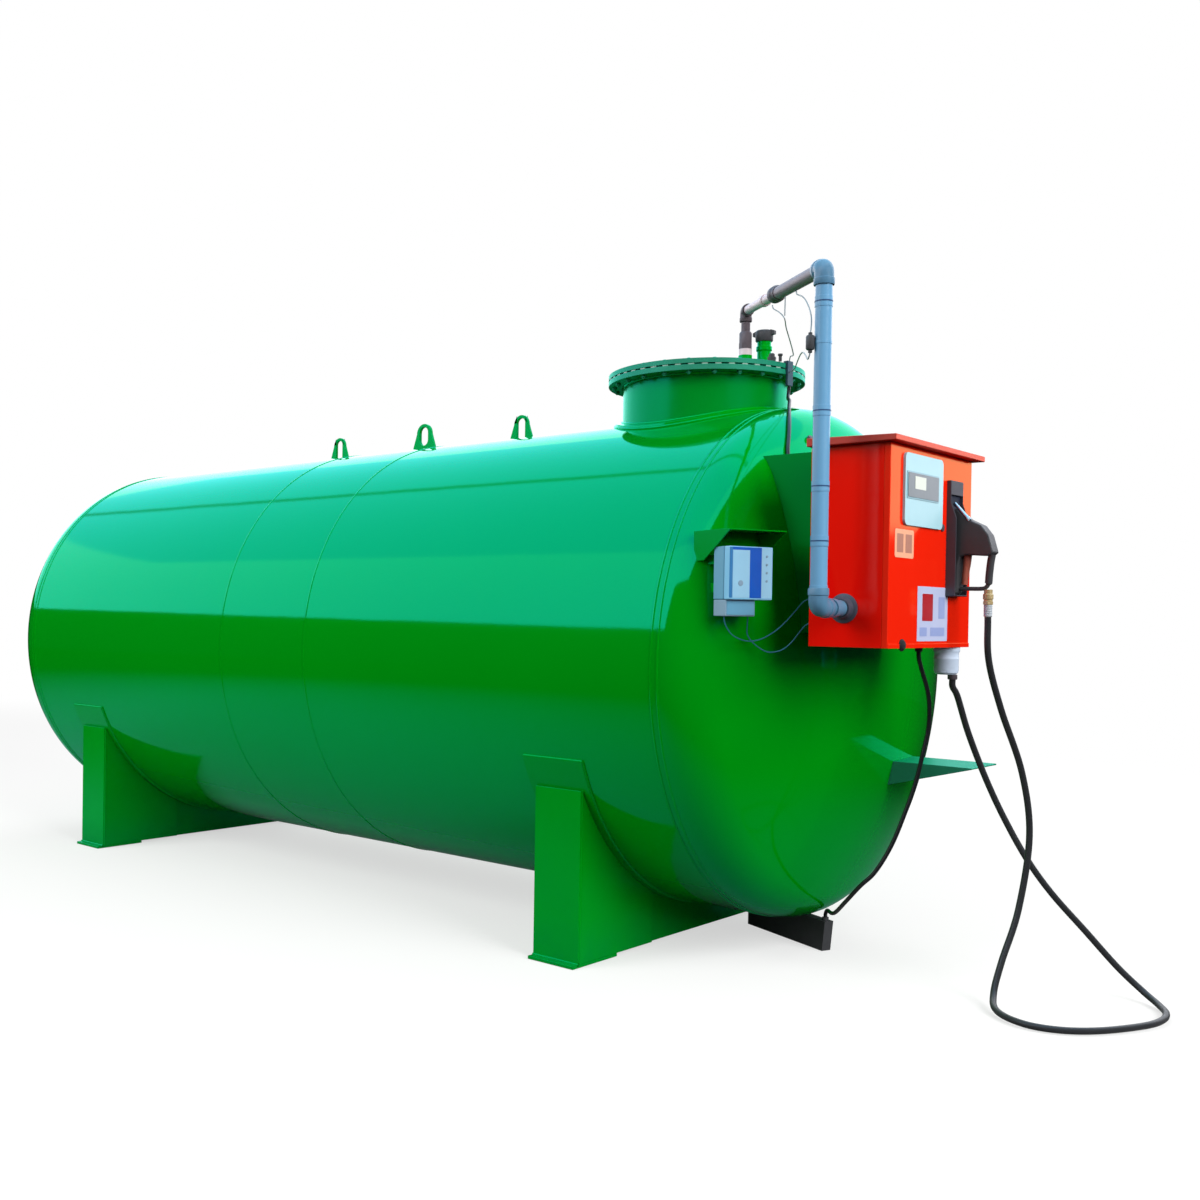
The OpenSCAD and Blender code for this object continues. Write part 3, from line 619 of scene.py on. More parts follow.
# Zinc-plated steel: a pale grey with patchy shine.
ZINC_STEEL = Finish("bright_zinc_steel", "#c3cbd2", "#b2bac2", 0.4, 0.3, roughness_spread=0.1, mottle_mm=20)
# Drawn aluminium: bright, with one sharp streak of light along it.
DRAWN_ALUMINIUM = Finish("drawn_aluminium_spout", "#cdd6dc", "#b7c2ca", 0.25, 1.0, mottle_mm=30)
# Moulded nylon, worn by hands: a dull reddish brown.
LEVER_NYLON = Finish("moulded_lever_nylon", "#9c5646", "#ae5e4c", 0.4, mottle_mm=20, grain_mm=2)
# Hot-rolled steel with its scale on: a dark uneven grey, inside the double wall.
MILL_STEEL = Finish("mill_scale_steel", "#6a6864", "#7c7a76", 0.5, 0.9, mottle_mm=120)


# ---- Meshes ----


class Shape:
    """A mesh being made, in metres, as plain points and faces."""

    def __init__(self) -> None:
        """Start with nothing."""
        self.points: list[Vector] = []
        self.faces: list[tuple[int, ...]] = []

    def join(self, points: Sequence[Vector], faces: Sequence[Sequence[int]]) -> None:
        """Add points and the faces between them.

        Args:
            points: New points.
            faces: Faces, by the places of their points in the list.
        """
        first = len(self.points)
        self.points.extend(points)
        self.faces.extend(tuple(first + k for k in face) for face in faces)

    def rings(self, loops: Sequence[Sequence[Vector]], closed: bool = False, capped: bool = True) -> None:
        """Skin a row of point loops with quads.

        Args:
            loops: Loops with the same number of points.
            closed: Whether the last loop joins the first.
            capped: Whether an open row gets an end face at both ends.
        """
        count, size = len(loops), len(loops[0])
        faces: list[tuple[int, ...]] = []
        for k in range(count if closed else count - 1):
            a, b = k * size, ((k + 1) % count) * size
            faces.extend((a + j, a + (j + 1) % size, b + (j + 1) % size, b + j) for j in range(size))
        if capped and not closed:
            faces.append(tuple(reversed(range(size))))
            faces.append(tuple((count - 1) * size + j for j in range(size)))
        self.join([p for loop in loops for p in loop], faces)

    def tube(
        self, path: Sequence[Vector], radius: float | Sequence[float], sides: int = 16, closed: bool = False
    ) -> None:
        """Sweep a circle along a path.

        Args:
            path: Points of the path.
            radius: One radius, or one for each point.
            sides: Number of sides of the circle.
            closed: Whether the path returns to its start.
        """
        radii = [radius] * len(path) if isinstance(radius, (int, float)) else radius
        loops = []
        side = Vector((0.3, 1.0, 0.2))
        for k, point in enumerate(path):
            ahead = path[(k + 1) % len(path)] if closed or k + 1 < len(path) else point
            behind = path[k - 1] if closed or k > 0 else point
            along = (ahead - behind).normalized()
            side = (side - side.dot(along) * along).normalized()
            other = along.cross(side)
            loops.append(
                [
                    point + radii[k] * (math.cos(a) * side + math.sin(a) * other)
                    for a in (2 * math.pi * j / sides for j in range(sides))
                ]
            )
        self.rings(loops, closed)

    def lathe(
        self, profile: Sequence[tuple[float, float]], foot: Vector, axis: Vector = UP, steps: int = 48
    ) -> None:
        """Turn a profile around an axis.

        Args:
            profile: Radius and height of each point, in metres.
            foot: Where height is zero.
            axis: The direction of growing height.
            steps: Number of steps around.
        """
        along = axis.normalized()
        side = along.orthogonal().normalized()
        other = along.cross(side)
        loops = []
        for radius, height in profile:
            loops.append(
                [
                    foot + height * along + max(radius, 1e-5) * (math.cos(a) * side + math.sin(a) * other)
                    for a in (2 * math.pi * j / steps for j in range(steps))
                ]
            )
        self.rings(loops)

    def prism(self, outline: Sequence[tuple[float, float]], place: Matrix, depth: float) -> None:
        """Push a flat outline along its own normal.

        Args:
            outline: Points in the flat.
            place: Where the flat lies, its Z along the push.
            depth: Length of the push.
        """
        low = [place @ Vector((x, y, 0)) for x, y in outline]
        high = [place @ Vector((x, y, depth)) for x, y in outline]
        self.rings([low, high])

    def block(self, low: Sequence[float], high: Sequence[float], place: Matrix | None = None) -> None:
        """Add a box between two corners."""
        flat = [(low[0], low[1]), (high[0], low[1]), (high[0], high[1]), (low[0], high[1])]
        self.prism(flat, (place or Matrix()) @ Matrix.Translation((0, 0, low[2])), high[2] - low[2])


def add_object(name: str, data: bpy.types.ID) -> Piece:
    """Make an object and put it in the scene.

    Args:
        name: Its name.
        data: Its mesh, curve, lamp or camera.

    Returns:
        The object.
    """
    made = bpy.data.objects.new(name, data)
    bpy.context.scene.collection.objects.link(made)
    return made


def straight(start: Vector, end: Vector, count: int) -> list[Vector]:
    """Give the points of a straight line that is walked in count steps."""
    return [start.lerp(end, k / count) for k in range(count + 1)]


def present(
    name: str,
    shape: Shape,
    finish: Finish,
    edge_mm: float = 0.0,
    smooth_angle: float = 35.0,
    stands_for: Sequence[str] = (),
) -> Piece:
    """Turn a shape into a finished piece that rides on the tank.

    Args:
        name: The piece's name.
        shape: Its mesh.
        finish: Its finish.
        edge_mm: Width of its rounded edges.
        smooth_angle: Edges flatter than this many degrees are smooth.
        stands_for: The frame's nodes that it replaces.

    Returns:
        The piece.
    """
    mesh = bpy.data.meshes.new(name)
    mesh.from_pydata([tuple(p) for p in shape.points], [], shape.faces)
    mesh.validate()
    mesh.shade_smooth()
    mesh.set_sharp_from_angle(angle=math.radians(smooth_angle))
    mesh.materials.append(finish.material())
    piece = add_object(name, mesh)
    if edge_mm > 0:
        round_edges(piece, edge_mm)
    return settle(piece, stands_for)


def settle(piece: Piece, stands_for: Sequence[str] = ()) -> Piece:
    """Let a piece ride on the tank and the nodes it replaces, and report it.

    Args:
        piece: The piece.
        stands_for: The frame's nodes that it replaces.

    Returns:
        The piece.
    """
    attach(piece, BODY)
    if stands_for:
        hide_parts(*stands_for)
    LOG.info("piece %s", piece.name)
    return piece


def round_edges(piece: Piece, width_mm: float, segments: int = 2) -> None:
    """Round the sharp edges of a piece.

    Args:
        piece: The piece.
        width_mm: Width of the rounding.
        segments: Facets across the rounding.
    """
    bevel = piece.modifiers.new("rounded_edges", "BEVEL")
    bevel.width = width_mm * MM
    bevel.segments = segments
    bevel.limit_method = "ANGLE"
    bevel.angle_limit = math.radians(ROUND_FROM)
    bevel.harden_normals = True


def join_doubles(piece: Piece) -> None:
    """Join the doubled points of one of the frame's nodes, and drop its fixed normals.

    Args:
        piece: The node's object.
    """
    normals = piece.data.attributes.get("custom_normal")
    if normals is not None:
        piece.data.attributes.remove(normals)
    weld = piece.modifiers.new("join_doubles", "WELD")
    weld.merge_threshold = DOUBLED_MM * MM


def dress(nodes: Sequence[str], finish: Finish, edge_mm: float = 0.0) -> None:
    """Give nodes of the frame a finish, and rounded edges where they are flat plate.

    Args:
        nodes: Names of the nodes.
        finish: The finish they get.
        edge_mm: Width of the rounded edges, or 0 for none.
    """
    for name in nodes:
        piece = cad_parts[name]
        for held in piece.material_slots:
            held.material = finish.material()
        if edge_mm > 0:
            join_doubles(piece)
            round_edges(piece, edge_mm)
        LOG.info("node %s in %s", name, finish.name)


def curve_through(route: Sequence[Vector], per_span: int) -> list[Vector]:
    """Give points of one smooth curve through a route.

    Args:
        route: The points it passes.
        per_span: Steps from each point to the next.

    Returns:
        The points of the curve.
    """
    found = []
    last = len(route) - 1
    for step in range(last * per_span + 1):
        k = min(step // per_span, last - 1)
        t = step / per_span - k
        b, c = route[k], route[k + 1]
        a = route[k - 1] if k > 0 else 2 * b - c
        d = route[k + 2] if k < last - 1 else 2 * c - b
        found.append(
            0.5 * (2 * b + (c - a) * t + (2 * a - 5 * b + 4 * c - d) * t**2 + (3 * b - a - 3 * c + d) * t**3)
        )
    return found


def from_mm(points: Sequence[Sequence[float]], shift_x: float = 0.0) -> list[Vector]:
    """Turn points in millimetres into metres, moved along X by shift_x metres."""
    return [Vector((x * MM + shift_x, y * MM, z * MM)) for x, y, z in points]


# ---- Studio ----


@dataclass(frozen=True)
class Softbox:
    """A flat soft lamp: where its middle is, what it looks at, its side in metres and its brightness."""

    name: str
    middle: Triple
    target: Triple
    side: float
    radiance: float

    def hang(self) -> None:
        """Hang the lamp, out of sight of the camera and of reflections."""
        lamp = bpy.data.lights.new(self.name, "AREA")
        lamp.shape = "SQUARE"
        lamp.size = self.side
        lamp.energy = self.radiance * math.pi * self.side**2
        holder = add_object(self.name, lamp)
        middle = Vector(self.middle)
        ahead = (Vector(self.target) - middle).normalized()
        across = ahead.cross(UP).normalized()
        rise = across.cross(ahead)
        turned = Matrix((across, rise, -ahead)).transposed().to_4x4()
        holder.matrix_world = Matrix.Translation(middle) @ turned
        holder.visible_camera = False
        holder.visible_glossy = False


@dataclass(frozen=True)
class Tent:
    """The tent that gloss reflects: dark cards low down, pale walls above, and a roof with a darker ridge.

    Each post gives its x, its y and the height that the dark cards reach there, in metres.
    """

    posts: tuple[Triple, ...] = (
        (-2.0, -9.8, 3.3), (-15.0, -6.3, 3.3), (-15.0, 7.0, 3.3), (-4.0, 9.5, 3.0), (3.0, 9.5, 2.25),
        (8.0, 9.5, 2.25), (8.2, 7.0, 6.5), (5.7, 1.9, 8.8), (5.3, -5.0, 8.6), (4.0, -9.8, 7.5),
        (-0.5, -9.8, 6.8),
    )
    height: float = 12.0
    rear_height: float = 8.6
    rear_x: float = -15.0
    ridge: tuple[float, float] = (0.35, 0.75)
    ridge_gap: float = 0.1
    ridge_fall: float = 0.97
    wall_radiance: float = 2.3
    roof_radiance: float = 2.25
    ridge_radiance: float = 0.7
    card_radiance: float = 0.02
    wall_shade: str = "#f4f6ff"
    roof_shade: str = "#9cd8ff"

    def top(self, post: Triple) -> Triple:
        """Give the top of a post: the tent slopes down to its rear."""
        return (post[0], post[1], self.rear_height if post[0] == self.rear_x else self.height)

    def pitch(self) -> None:
        """Put up the cards, the walls, the roof and the darker ridge under it."""
        pairs = list(zip(self.posts, self.posts[1:] + self.posts[:1]))
        cards = [[(*a[:2], 0), (*b[:2], 0), b, a] for a, b in pairs]
        walls = [[a, b, self.top(b), self.top(a)] for a, b in pairs]
        rear = [post for post in self.posts if post[0] == self.rear_x]
        flat = [self.top(post) for post in self.posts if post not in rear]
        slope = [flat[0], *(self.top(post) for post in rear), flat[1]]
        low, high = self.ridge
        bend_x, front_x = flat[0][0], max(x for x, _, _ in flat)
        under = self.height - self.ridge_gap
        behind = under - self.ridge_fall * (self.height - self.rear_height)
        ridge = [(bend_x, low, under), (front_x, low, under), (front_x, high, under), (bend_x, high, under)]
        ridge_rear = [ridge[0], ridge[3], (self.rear_x, high, behind), (self.rear_x, low, behind)]
        self.cloth("dark_cards", cards, self.card_radiance, self.wall_shade)
        self.cloth("tent_walls", walls, self.wall_radiance, self.wall_shade)
        self.cloth("tent_roof", [flat, slope], self.roof_radiance, self.roof_shade)
        self.cloth("tent_ridge", [ridge, ridge_rear], self.ridge_radiance, self.roof_shade)

    def cloth(
        self, name: str, panes: Sequence[Sequence[Sequence[float]]], radiance: float, shade: str
    ) -> None:
        """Hang flat panes that only glossy rays see.

        Args:
            name: The piece's name.
            panes: The corners of each pane.
            radiance: How bright the panes are.
            shade: The cloth's colour.
        """
        mesh = bpy.data.meshes.new(name)
        corners = [corner for pane in panes for corner in pane]
        starts = [sum(len(q) for q in panes[:k]) for k in range(len(panes))]
        mesh.from_pydata(corners, [], [tuple(range(k, k + len(q))) for k, q in zip(starts, panes)])
        glow = bpy.data.materials.new(name)
        glow.use_nodes = True
        glow.node_tree.nodes.clear()
        light = add_node(glow.node_tree, "ShaderNodeEmission", {"Color": linear(shade), "Strength": radiance})
        add_node(glow.node_tree, "ShaderNodeOutputMaterial", {"Surface": light.outputs[0]})
        mesh.materials.append(glow)
        piece = add_object(name, mesh)
        piece.visible_camera = piece.visible_diffuse = False
        piece.visible_shadow = piece.visible_transmission = False


@dataclass(frozen=True)
class Floor:
    """The pale floor: it keeps the shadow and fades to plain white further out.

    Only the camera sees the seen shade. Light that bounces meets grey paper by the tank and dark paper
    further out, so that little of it reaches the tank from below.
    """

    half: float = 60.0
    drop: float = 0.001
    seen_shade: str = "#f2f2f2"
    near_shade: str = "#b0b0b0"
    far_shade: str = "#1c1c1c"
    white_near: float = 0.60
    white_from: float = 3.5
    white_to: float = 8.0
    white_stretch: Triple = (0.55, 1.0, 1.0)
    dark_from: float = 1.4
    dark_to: float = 4.4
    dark_stretch: Triple = (0.75, 1.0, 1.0)
    dark_shift: Triple = (1.5, 0.0, 0.0)

    def lay(self) -> None:
        """Lay the sheet just under the feet."""
        mesh = bpy.data.meshes.new("floor")
        corners = [(-1, -1), (1, -1), (1, 1), (-1, 1)]
        points = [(x * self.half, y * self.half, -self.drop) for x, y in corners]
        mesh.from_pydata(points, [], [(0, 1, 2, 3)])
        mesh.materials.append(self.paper())
        add_object("floor", mesh)

    def reach(self, tree: Tree, stretch: Triple, shift: Triple) -> Socket:
        """Give the distance from the tank over the floor.

        Args:
            tree: The material's node tree.
            stretch: How much each axis counts.
            shift: What is added to the point.

        Returns:
            The distance in metres.
        """
        point = add_node(
            tree,
            "ShaderNodeVectorMath",
            {0: add_node(tree, "ShaderNodeTexCoord").outputs["Object"], 1: stretch, 2: shift},
            operation="MULTIPLY_ADD",
        )
        return add_node(
            tree, "ShaderNodeVectorMath", {0: point.outputs["Vector"]}, operation="LENGTH"
        ).outputs["Value"]

    def paper(self) -> bpy.types.Material:
        """Make the matt paper, which glows white further out.

        Returns:
            The material.
        """
        paper = bpy.data.materials.new("floor_paper")
        paper.use_nodes = True
        tree = paper.node_tree
        tree.nodes.clear()
        path = add_node(tree, "ShaderNodeLightPath")
        far = add_node(
            tree,
            "ShaderNodeMapRange",
            {
                "Value": self.reach(tree, self.dark_stretch, self.dark_shift),
                "From Min": self.dark_from,
                "From Max": self.dark_to,
            },
            interpolation_type="SMOOTHSTEP",
        )
        ground = add_node(
            tree,
            "ShaderNodeMix",
            {0: far.outputs["Result"], 6: linear(self.near_shade), 7: linear(self.far_shade)},
            data_type="RGBA",
        )
        shade = add_node(
            tree,
            "ShaderNodeMix",
            {0: path.outputs["Is Camera Ray"], 6: ground.outputs[2], 7: linear(self.seen_shade)},
            data_type="RGBA",
        )
        whiter = add_node(
            tree,
            "ShaderNodeMapRange",
            {
                "Value": self.reach(tree, self.white_stretch, (0.0, 0.0, 0.0)),
                "From Min": self.white_from,
                "From Max": self.white_to,
                "To Min": self.white_near,
                "To Max": 1.0,
            },
            interpolation_type="SMOOTHSTEP",
        )
        direct = add_node(
            tree,
            "ShaderNodeMath",
            {0: path.outputs["Is Camera Ray"], 1: path.outputs["Is Transmission Ray"]},
            operation="MAXIMUM",
        )
        share = add_node(
            tree,
            "ShaderNodeMath",
            {0: direct.outputs[0], 1: whiter.outputs["Result"]},
            operation="MULTIPLY",
        )
        lit = add_node(tree, "ShaderNodeBsdfDiffuse", {"Color": shade.outputs[2]})
        white = add_node(tree, "ShaderNodeEmission", {"Color": (1, 1, 1, 1), "Strength": 1.0})
        mixed = add_node(
            tree, "ShaderNodeMixShader", {0: share.outputs[0], 1: lit.outputs[0], 2: white.outputs[0]}
        )
        add_node(tree, "ShaderNodeOutputMaterial", {"Surface": mixed.outputs[0]})
        return paper


@dataclass(frozen=True)
class Studio:
    """Camera, floor, plain white background and soft lamps. The camera's angles are in radians."""

    eye: Triple = (4.1392, -4.3530, 1.22725)
    yaw: float = 0.7466301
    pitch: float = -0.0120536
    roll: float = 0.0151683
    lens: float = 37.951
    shift: tuple[float, float] = (0.1065, 0.0258)
    sight: float = 200.0
    ambient: float = 0.5
    boxes: tuple[Softbox, ...] = (
        Softbox("key_box", (-3.0, -9.0, 6.0), (0.0, 0.0, 1.2), 6.0, 6.4),
        Softbox("front_box", (10.0, -1.5, 5.0), (1.5, 0.0, 1.2), 6.0, 9.5),
        Softbox("back_box", (-3.0, 9.0, 6.0), (0.0, 0.0, 1.2), 6.0, 5.0),
    )

    def set_camera(self) -> None:
        """Place the camera and make it the scene's."""
        data = bpy.data.cameras.new("camera")
        data.lens = self.lens
        data.shift_x, data.shift_y = self.shift
        data.clip_end = self.sight
        camera = add_object("camera", data)
        flat = math.cos(self.pitch)
        ahead = Vector((-math.sin(self.yaw) * flat, math.cos(self.yaw) * flat, math.sin(self.pitch)))
        level = Vector((math.cos(self.yaw), math.sin(self.yaw), 0))
        above = level.cross(ahead)
        right = math.cos(self.roll) * level + math.sin(self.roll) * above
        rise = math.cos(self.roll) * above - math.sin(self.roll) * level
        turned = Matrix((right, rise, -ahead)).transposed().to_4x4()
        camera.matrix_world = Matrix.Translation(self.eye) @ turned
        bpy.context.scene.camera = camera

    def set_world(self) -> None:
        """Make a world that lights softly and is plain white to the camera, in gloss and through glass."""
        world = bpy.data.worlds.new("white_room")
        world.use_nodes = True
        tree = world.node_tree
        tree.nodes.clear()
        path = add_node(tree, "ShaderNodeLightPath")
        first = add_node(
            tree,
            "ShaderNodeMath",
            {0: path.outputs["Is Camera Ray"], 1: path.outputs["Is Glossy Ray"]},
            operation="MAXIMUM",
        )
        seen = add_node(
            tree,
            "ShaderNodeMath",
            {0: first.outputs[0], 1: path.outputs["Is Transmission Ray"]},
            operation="MAXIMUM",
        )
        level = add_node(
            tree, "ShaderNodeMapRange", {"Value": seen.outputs[0], "To Min": self.ambient, "To Max": 1.0}
        )
        back = add_node(
            tree, "ShaderNodeBackground", {"Color": (1, 1, 1, 1), "Strength": level.outputs["Result"]}
        )
        add_node(tree, "ShaderNodeOutputWorld", {"Surface": back.outputs[0]})
        bpy.context.scene.world = world

    def build(self) -> None:
        """Set up camera, floor, world, tent and lamps."""
        self.set_camera()
        Floor().lay()
        self.set_world()
        Tent().pitch()
        for box in self.boxes:
            box.hang()
        bpy.context.scene.view_settings.view_transform = "Standard"


# ---- Cords ----


@dataclass(frozen=True)
class FreeCord:
    """A hose or cable that hangs free between two fittings.

    The route is in millimetres, its X measured from the cabinet's front.
    """

    name: str
    node: str
    finish: Finish
    diameter: float
    length: float
    far_end: FarEnd
    route: tuple[Triple, ...]
    per_span: int = 10

    def build(
        self, start: Vector, finish_at: Sequence[Vector], shift_x: float, along: Sequence[object] = ()
    ) -> None:
        """Args:
            start: Where it leaves its fitting.
            finish_at: The last points, at its far fitting.
            shift_x: Where the route's X is measured from.
            along: Pieces that belong to the cord. Not used.
        """
        points = curve_through([start, *from_mm(self.route, shift_x), *finish_at], self.per_span)
        data = bpy.data.curves.new(self.name, "CURVE")
        data.dimensions = "3D"
        data.bevel_depth = self.diameter / 2
        data.bevel_resolution = 5
        data.use_fill_caps = True
        spline = data.splines.new("POLY")
        spline.points.add(len(points) - 1)
        for held, point in zip(spline.points, points):
            held.co = (*point, 1)
        spline.use_smooth = True
        data.materials.append(self.finish.material())
        piece = add_object(self.name, data)
        settle(piece, [self.node])
        real = sum((b - a).length for a, b in zip(points, points[1:]))
        LOG.info("%s is %.3f m long", self.name, real)


DELIVERY_HOSE = FreeCord(
    "delivery_hose_free", "delivery_hose", RUBBER_HOSE, 0.021, 3.53, FarEnd.OBJECT,
    (
        (-21, -171, 1015), (-14, -145, 980), (-8, -60, 852), (32, 5, 690), (92, 25, 555), (162, 40, 430),
        (232, 70, 325), (322, 120, 210), (412, 160, 100), (492, 160, 35), (552, 110, 14), (592, 30, 14),
        (600, -60, 14), (572, -160, 14), (492, -300, 14), (402, -380, 14), (302, -395, 14), (202, -330, 16),
        (155, -230, 40), (155, -165, 130), (175, -80, 290), (193, -45, 530), (175, -75, 740),
        (142, -180, 950), (124, -246, 1110),
    ),
)
SUPPLY_CABLE = FreeCord(
    "supply_cable_free", "supply_cable", CABLE_JACKET, 0.014, 1.46, FarEnd.FITTING,
    (
        (-58, -358, 1112), (-59, -338, 1082), (-60, -272, 985), (-66, -251, 888), (-76, -271, 793),
        (-92, -285, 700), (-112, -313, 604), (-142, -348, 492), (-182, -380, 402), (-230, -389, 348),
        (-300, -350, 278), (-380, -255, 216), (-460, -130, 176), (-525, -35, 160),
    ),
)


@dataclass(frozen=True)
class Cords:
    """The delivery hose and the supply cable.

    Places are in millimetres. X is measured from the cabinet's front, and for box_gland from the head's seam.
    """

    outlet: Triple = (-22, -172, 1041)
    swivel: Triple = (120, -250, 1248)
    gland: Triple = (-58, -360, 1133)
    box_gland: Triple = (144, 6, 124)
    over_gland: float = 12

    def build(self) -> None:
        """Lay both cords from fitting to fitting."""
        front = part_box("cabinet_front")[1].x
        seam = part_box("outer_shell_front")[1].x
        DELIVERY_HOSE.build(from_mm([self.outlet], front)[0], from_mm([self.swivel], front), front)
        over = (self.box_gland[0], self.box_gland[1], self.box_gland[2] + self.over_gland)
        SUPPLY_CABLE.build(
            from_mm([self.gland], front)[0],
            from_mm([over, self.box_gland], seam),
            front,
            [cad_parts["cable_box"]],
        )


# ---- Tank ----


@dataclass(frozen=True)
class Bead:
    """A weld bead: a rippled run of metal, half sunk in the plate."""

    radius: float = 0.006
    sunk: float = 0.003
    ripple: float = 0.12

    def run(self, shape: Shape, path: Sequence[Vector], closed: bool = False, sides: int = 8) -> None:
        """Lay the bead along a path, every second point drawn in to make the ripple."""
        radii = [self.radius * (1 - self.ripple * (k % 2)) for k in range(len(path))]
        shape.tube(path, radii, sides, closed)


@dataclass(frozen=True)
class TankShell:
    """The outer tank: three rolled courses and two dished heads, joined by welds."""

    radius: float = 0.95
    axis_height: float = 1.07
    flange: float = 0.026
    head_flange: float = 0.028
    knuckle: float = 0.190
    crown: float = 1.900
    wall: float = 0.006
    steps: int = 720
    head_steps: int = 360
    bead: Bead = Bead()
    seam_angle: float = 32.0
    seam_stagger: float = 14.0
    plug_reach: float = 0.197
    plug_side: float = -0.289
    plug_height: float = 1.860

    def ring(self, x: float) -> list[Vector]:
        """Give the path of a bead around the tank at x.

        Args:
            x: Where the ring lies along the tank.

        Returns:
            The points of the ring.
        """
        reach = self.radius - self.bead.sunk
        turns = (2 * math.pi * k / self.steps for k in range(self.steps))
        return [Vector((x, reach * math.cos(a), self.axis_height + reach * math.sin(a))) for a in turns]

    def build(self) -> None:
        """Dress the shells and heads and lay their weld beads."""
        courses = ("outer_shell_front", "outer_shell_middle", "outer_shell_rear")
        dress(courses, TANK_ENAMEL)
        dress(("inner_shell", "inner_heads", "wall_spacers"), MILL_STEEL)
        front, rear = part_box(courses[0])[1].x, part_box(courses[2])[0].x
        self.spin_head("front_head", front, 1)
        self.spin_head("rear_head", rear, -1)
        rims = Shape()
        for x in (front, front + self.flange, rear, rear - self.flange):
            self.bead.run(rims, self.ring(x), closed=True)
        present("head_weld_beads", rims, TANK_ENAMEL, smooth_angle=60)
        seams = Shape()
        for x in (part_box(courses[0])[0].x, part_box(courses[1])[0].x):
            self.bead.run(seams, self.ring(x), closed=True)
        self.long_seams(seams, courses)
        present("course_weld_beads", seams, TANK_ENAMEL, smooth_angle=60)
        self.head_plug()

    def head_profile(self, grow: float, count: int) -> list[tuple[float, float]]:
        """Give a dished head's profile from its rim to its pole.

        Args:
            grow: How far outside the head's outer face the profile lies.
            count: Number of steps on the knuckle and on the crown.

        Returns:
            The radius and the height above the seam of each point.
        """
        lean = math.asin((self.radius - self.knuckle) / (self.crown - self.knuckle))
        centre = self.head_flange - (self.crown - self.knuckle) * math.cos(lean)
        points = [(self.radius + grow, 0.0)]
        middle, bend = self.radius - self.knuckle, self.knuckle + grow
        for k in range(count + 1):
            a = (math.pi / 2 - lean) * k / count
            points.append((middle + bend * math.cos(a), self.head_flange + bend * math.sin(a)))
        for k in range(1, count + 1):
            b = lean * (1 - k / count)
            points.append(((self.crown + grow) * math.sin(b), centre + (self.crown + grow) * math.cos(b)))
        return points

    def spin_head(self, node: str, seam: float, way: int) -> None:
        """Spin one dished head, so that its gloss runs smooth over the pole.

        Args:
            node: The frame's node that it stands for.
            seam: The X of its seam.
            way: Which way it bulges along X, 1 or -1.
        """
        head = Shape()
        inside = self.head_profile(-self.wall, 12)[::-1]
        outside = self.head_profile(0.0, 36)
        pole = Vector((way, 0, 0))
        head.lathe([*inside, *outside], Vector((seam, 0, self.axis_height)), pole, self.head_steps)
        present(f"{node}_plate", head, HEAD_ENAMEL, stands_for=[node])

    def long_seams(self, shape: Shape, courses: Sequence[str]) -> None:
        """Lay the lengthwise bead of each course on the far side, each at another height.

        Args:
            shape: Gets the beads.
            courses: The frame's names of the courses.
        """
        reach = self.radius - self.bead.sunk
        for k, name in enumerate(courses):
            low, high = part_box(name)
            a = math.radians(self.seam_angle + self.seam_stagger * k)
            y, z = reach * math.cos(a), self.axis_height + reach * math.sin(a)
            count = int((high.x - low.x) / BEAD_STEP)
            self.bead.run(shape, straight(Vector((low.x, y, z)), Vector((high.x, y, z)), count))

    def head_plug(self) -> None:
        """Screw the small plug into the front head's shoulder."""
        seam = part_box("outer_shell_front")[1].x
        seat = Vector((seam + self.plug_reach, self.plug_side, self.plug_height))
        out = Vector((0.8, seat.y, seat.z - self.axis_height)).normalized()
        plug = Shape()
        plug.lathe([(0.0, -0.01), (0.017, -0.01), (0.017, 0.004), (0.0, 0.004)], seat, out, 24)
        plug.lathe([(0.0, 0.004), (0.012, 0.004), (0.012, 0.014), (0.010, 0.017), (0.0, 0.017)], seat, out, 6)
        present("head_plug", plug, DARK_ZINC, 0.8)


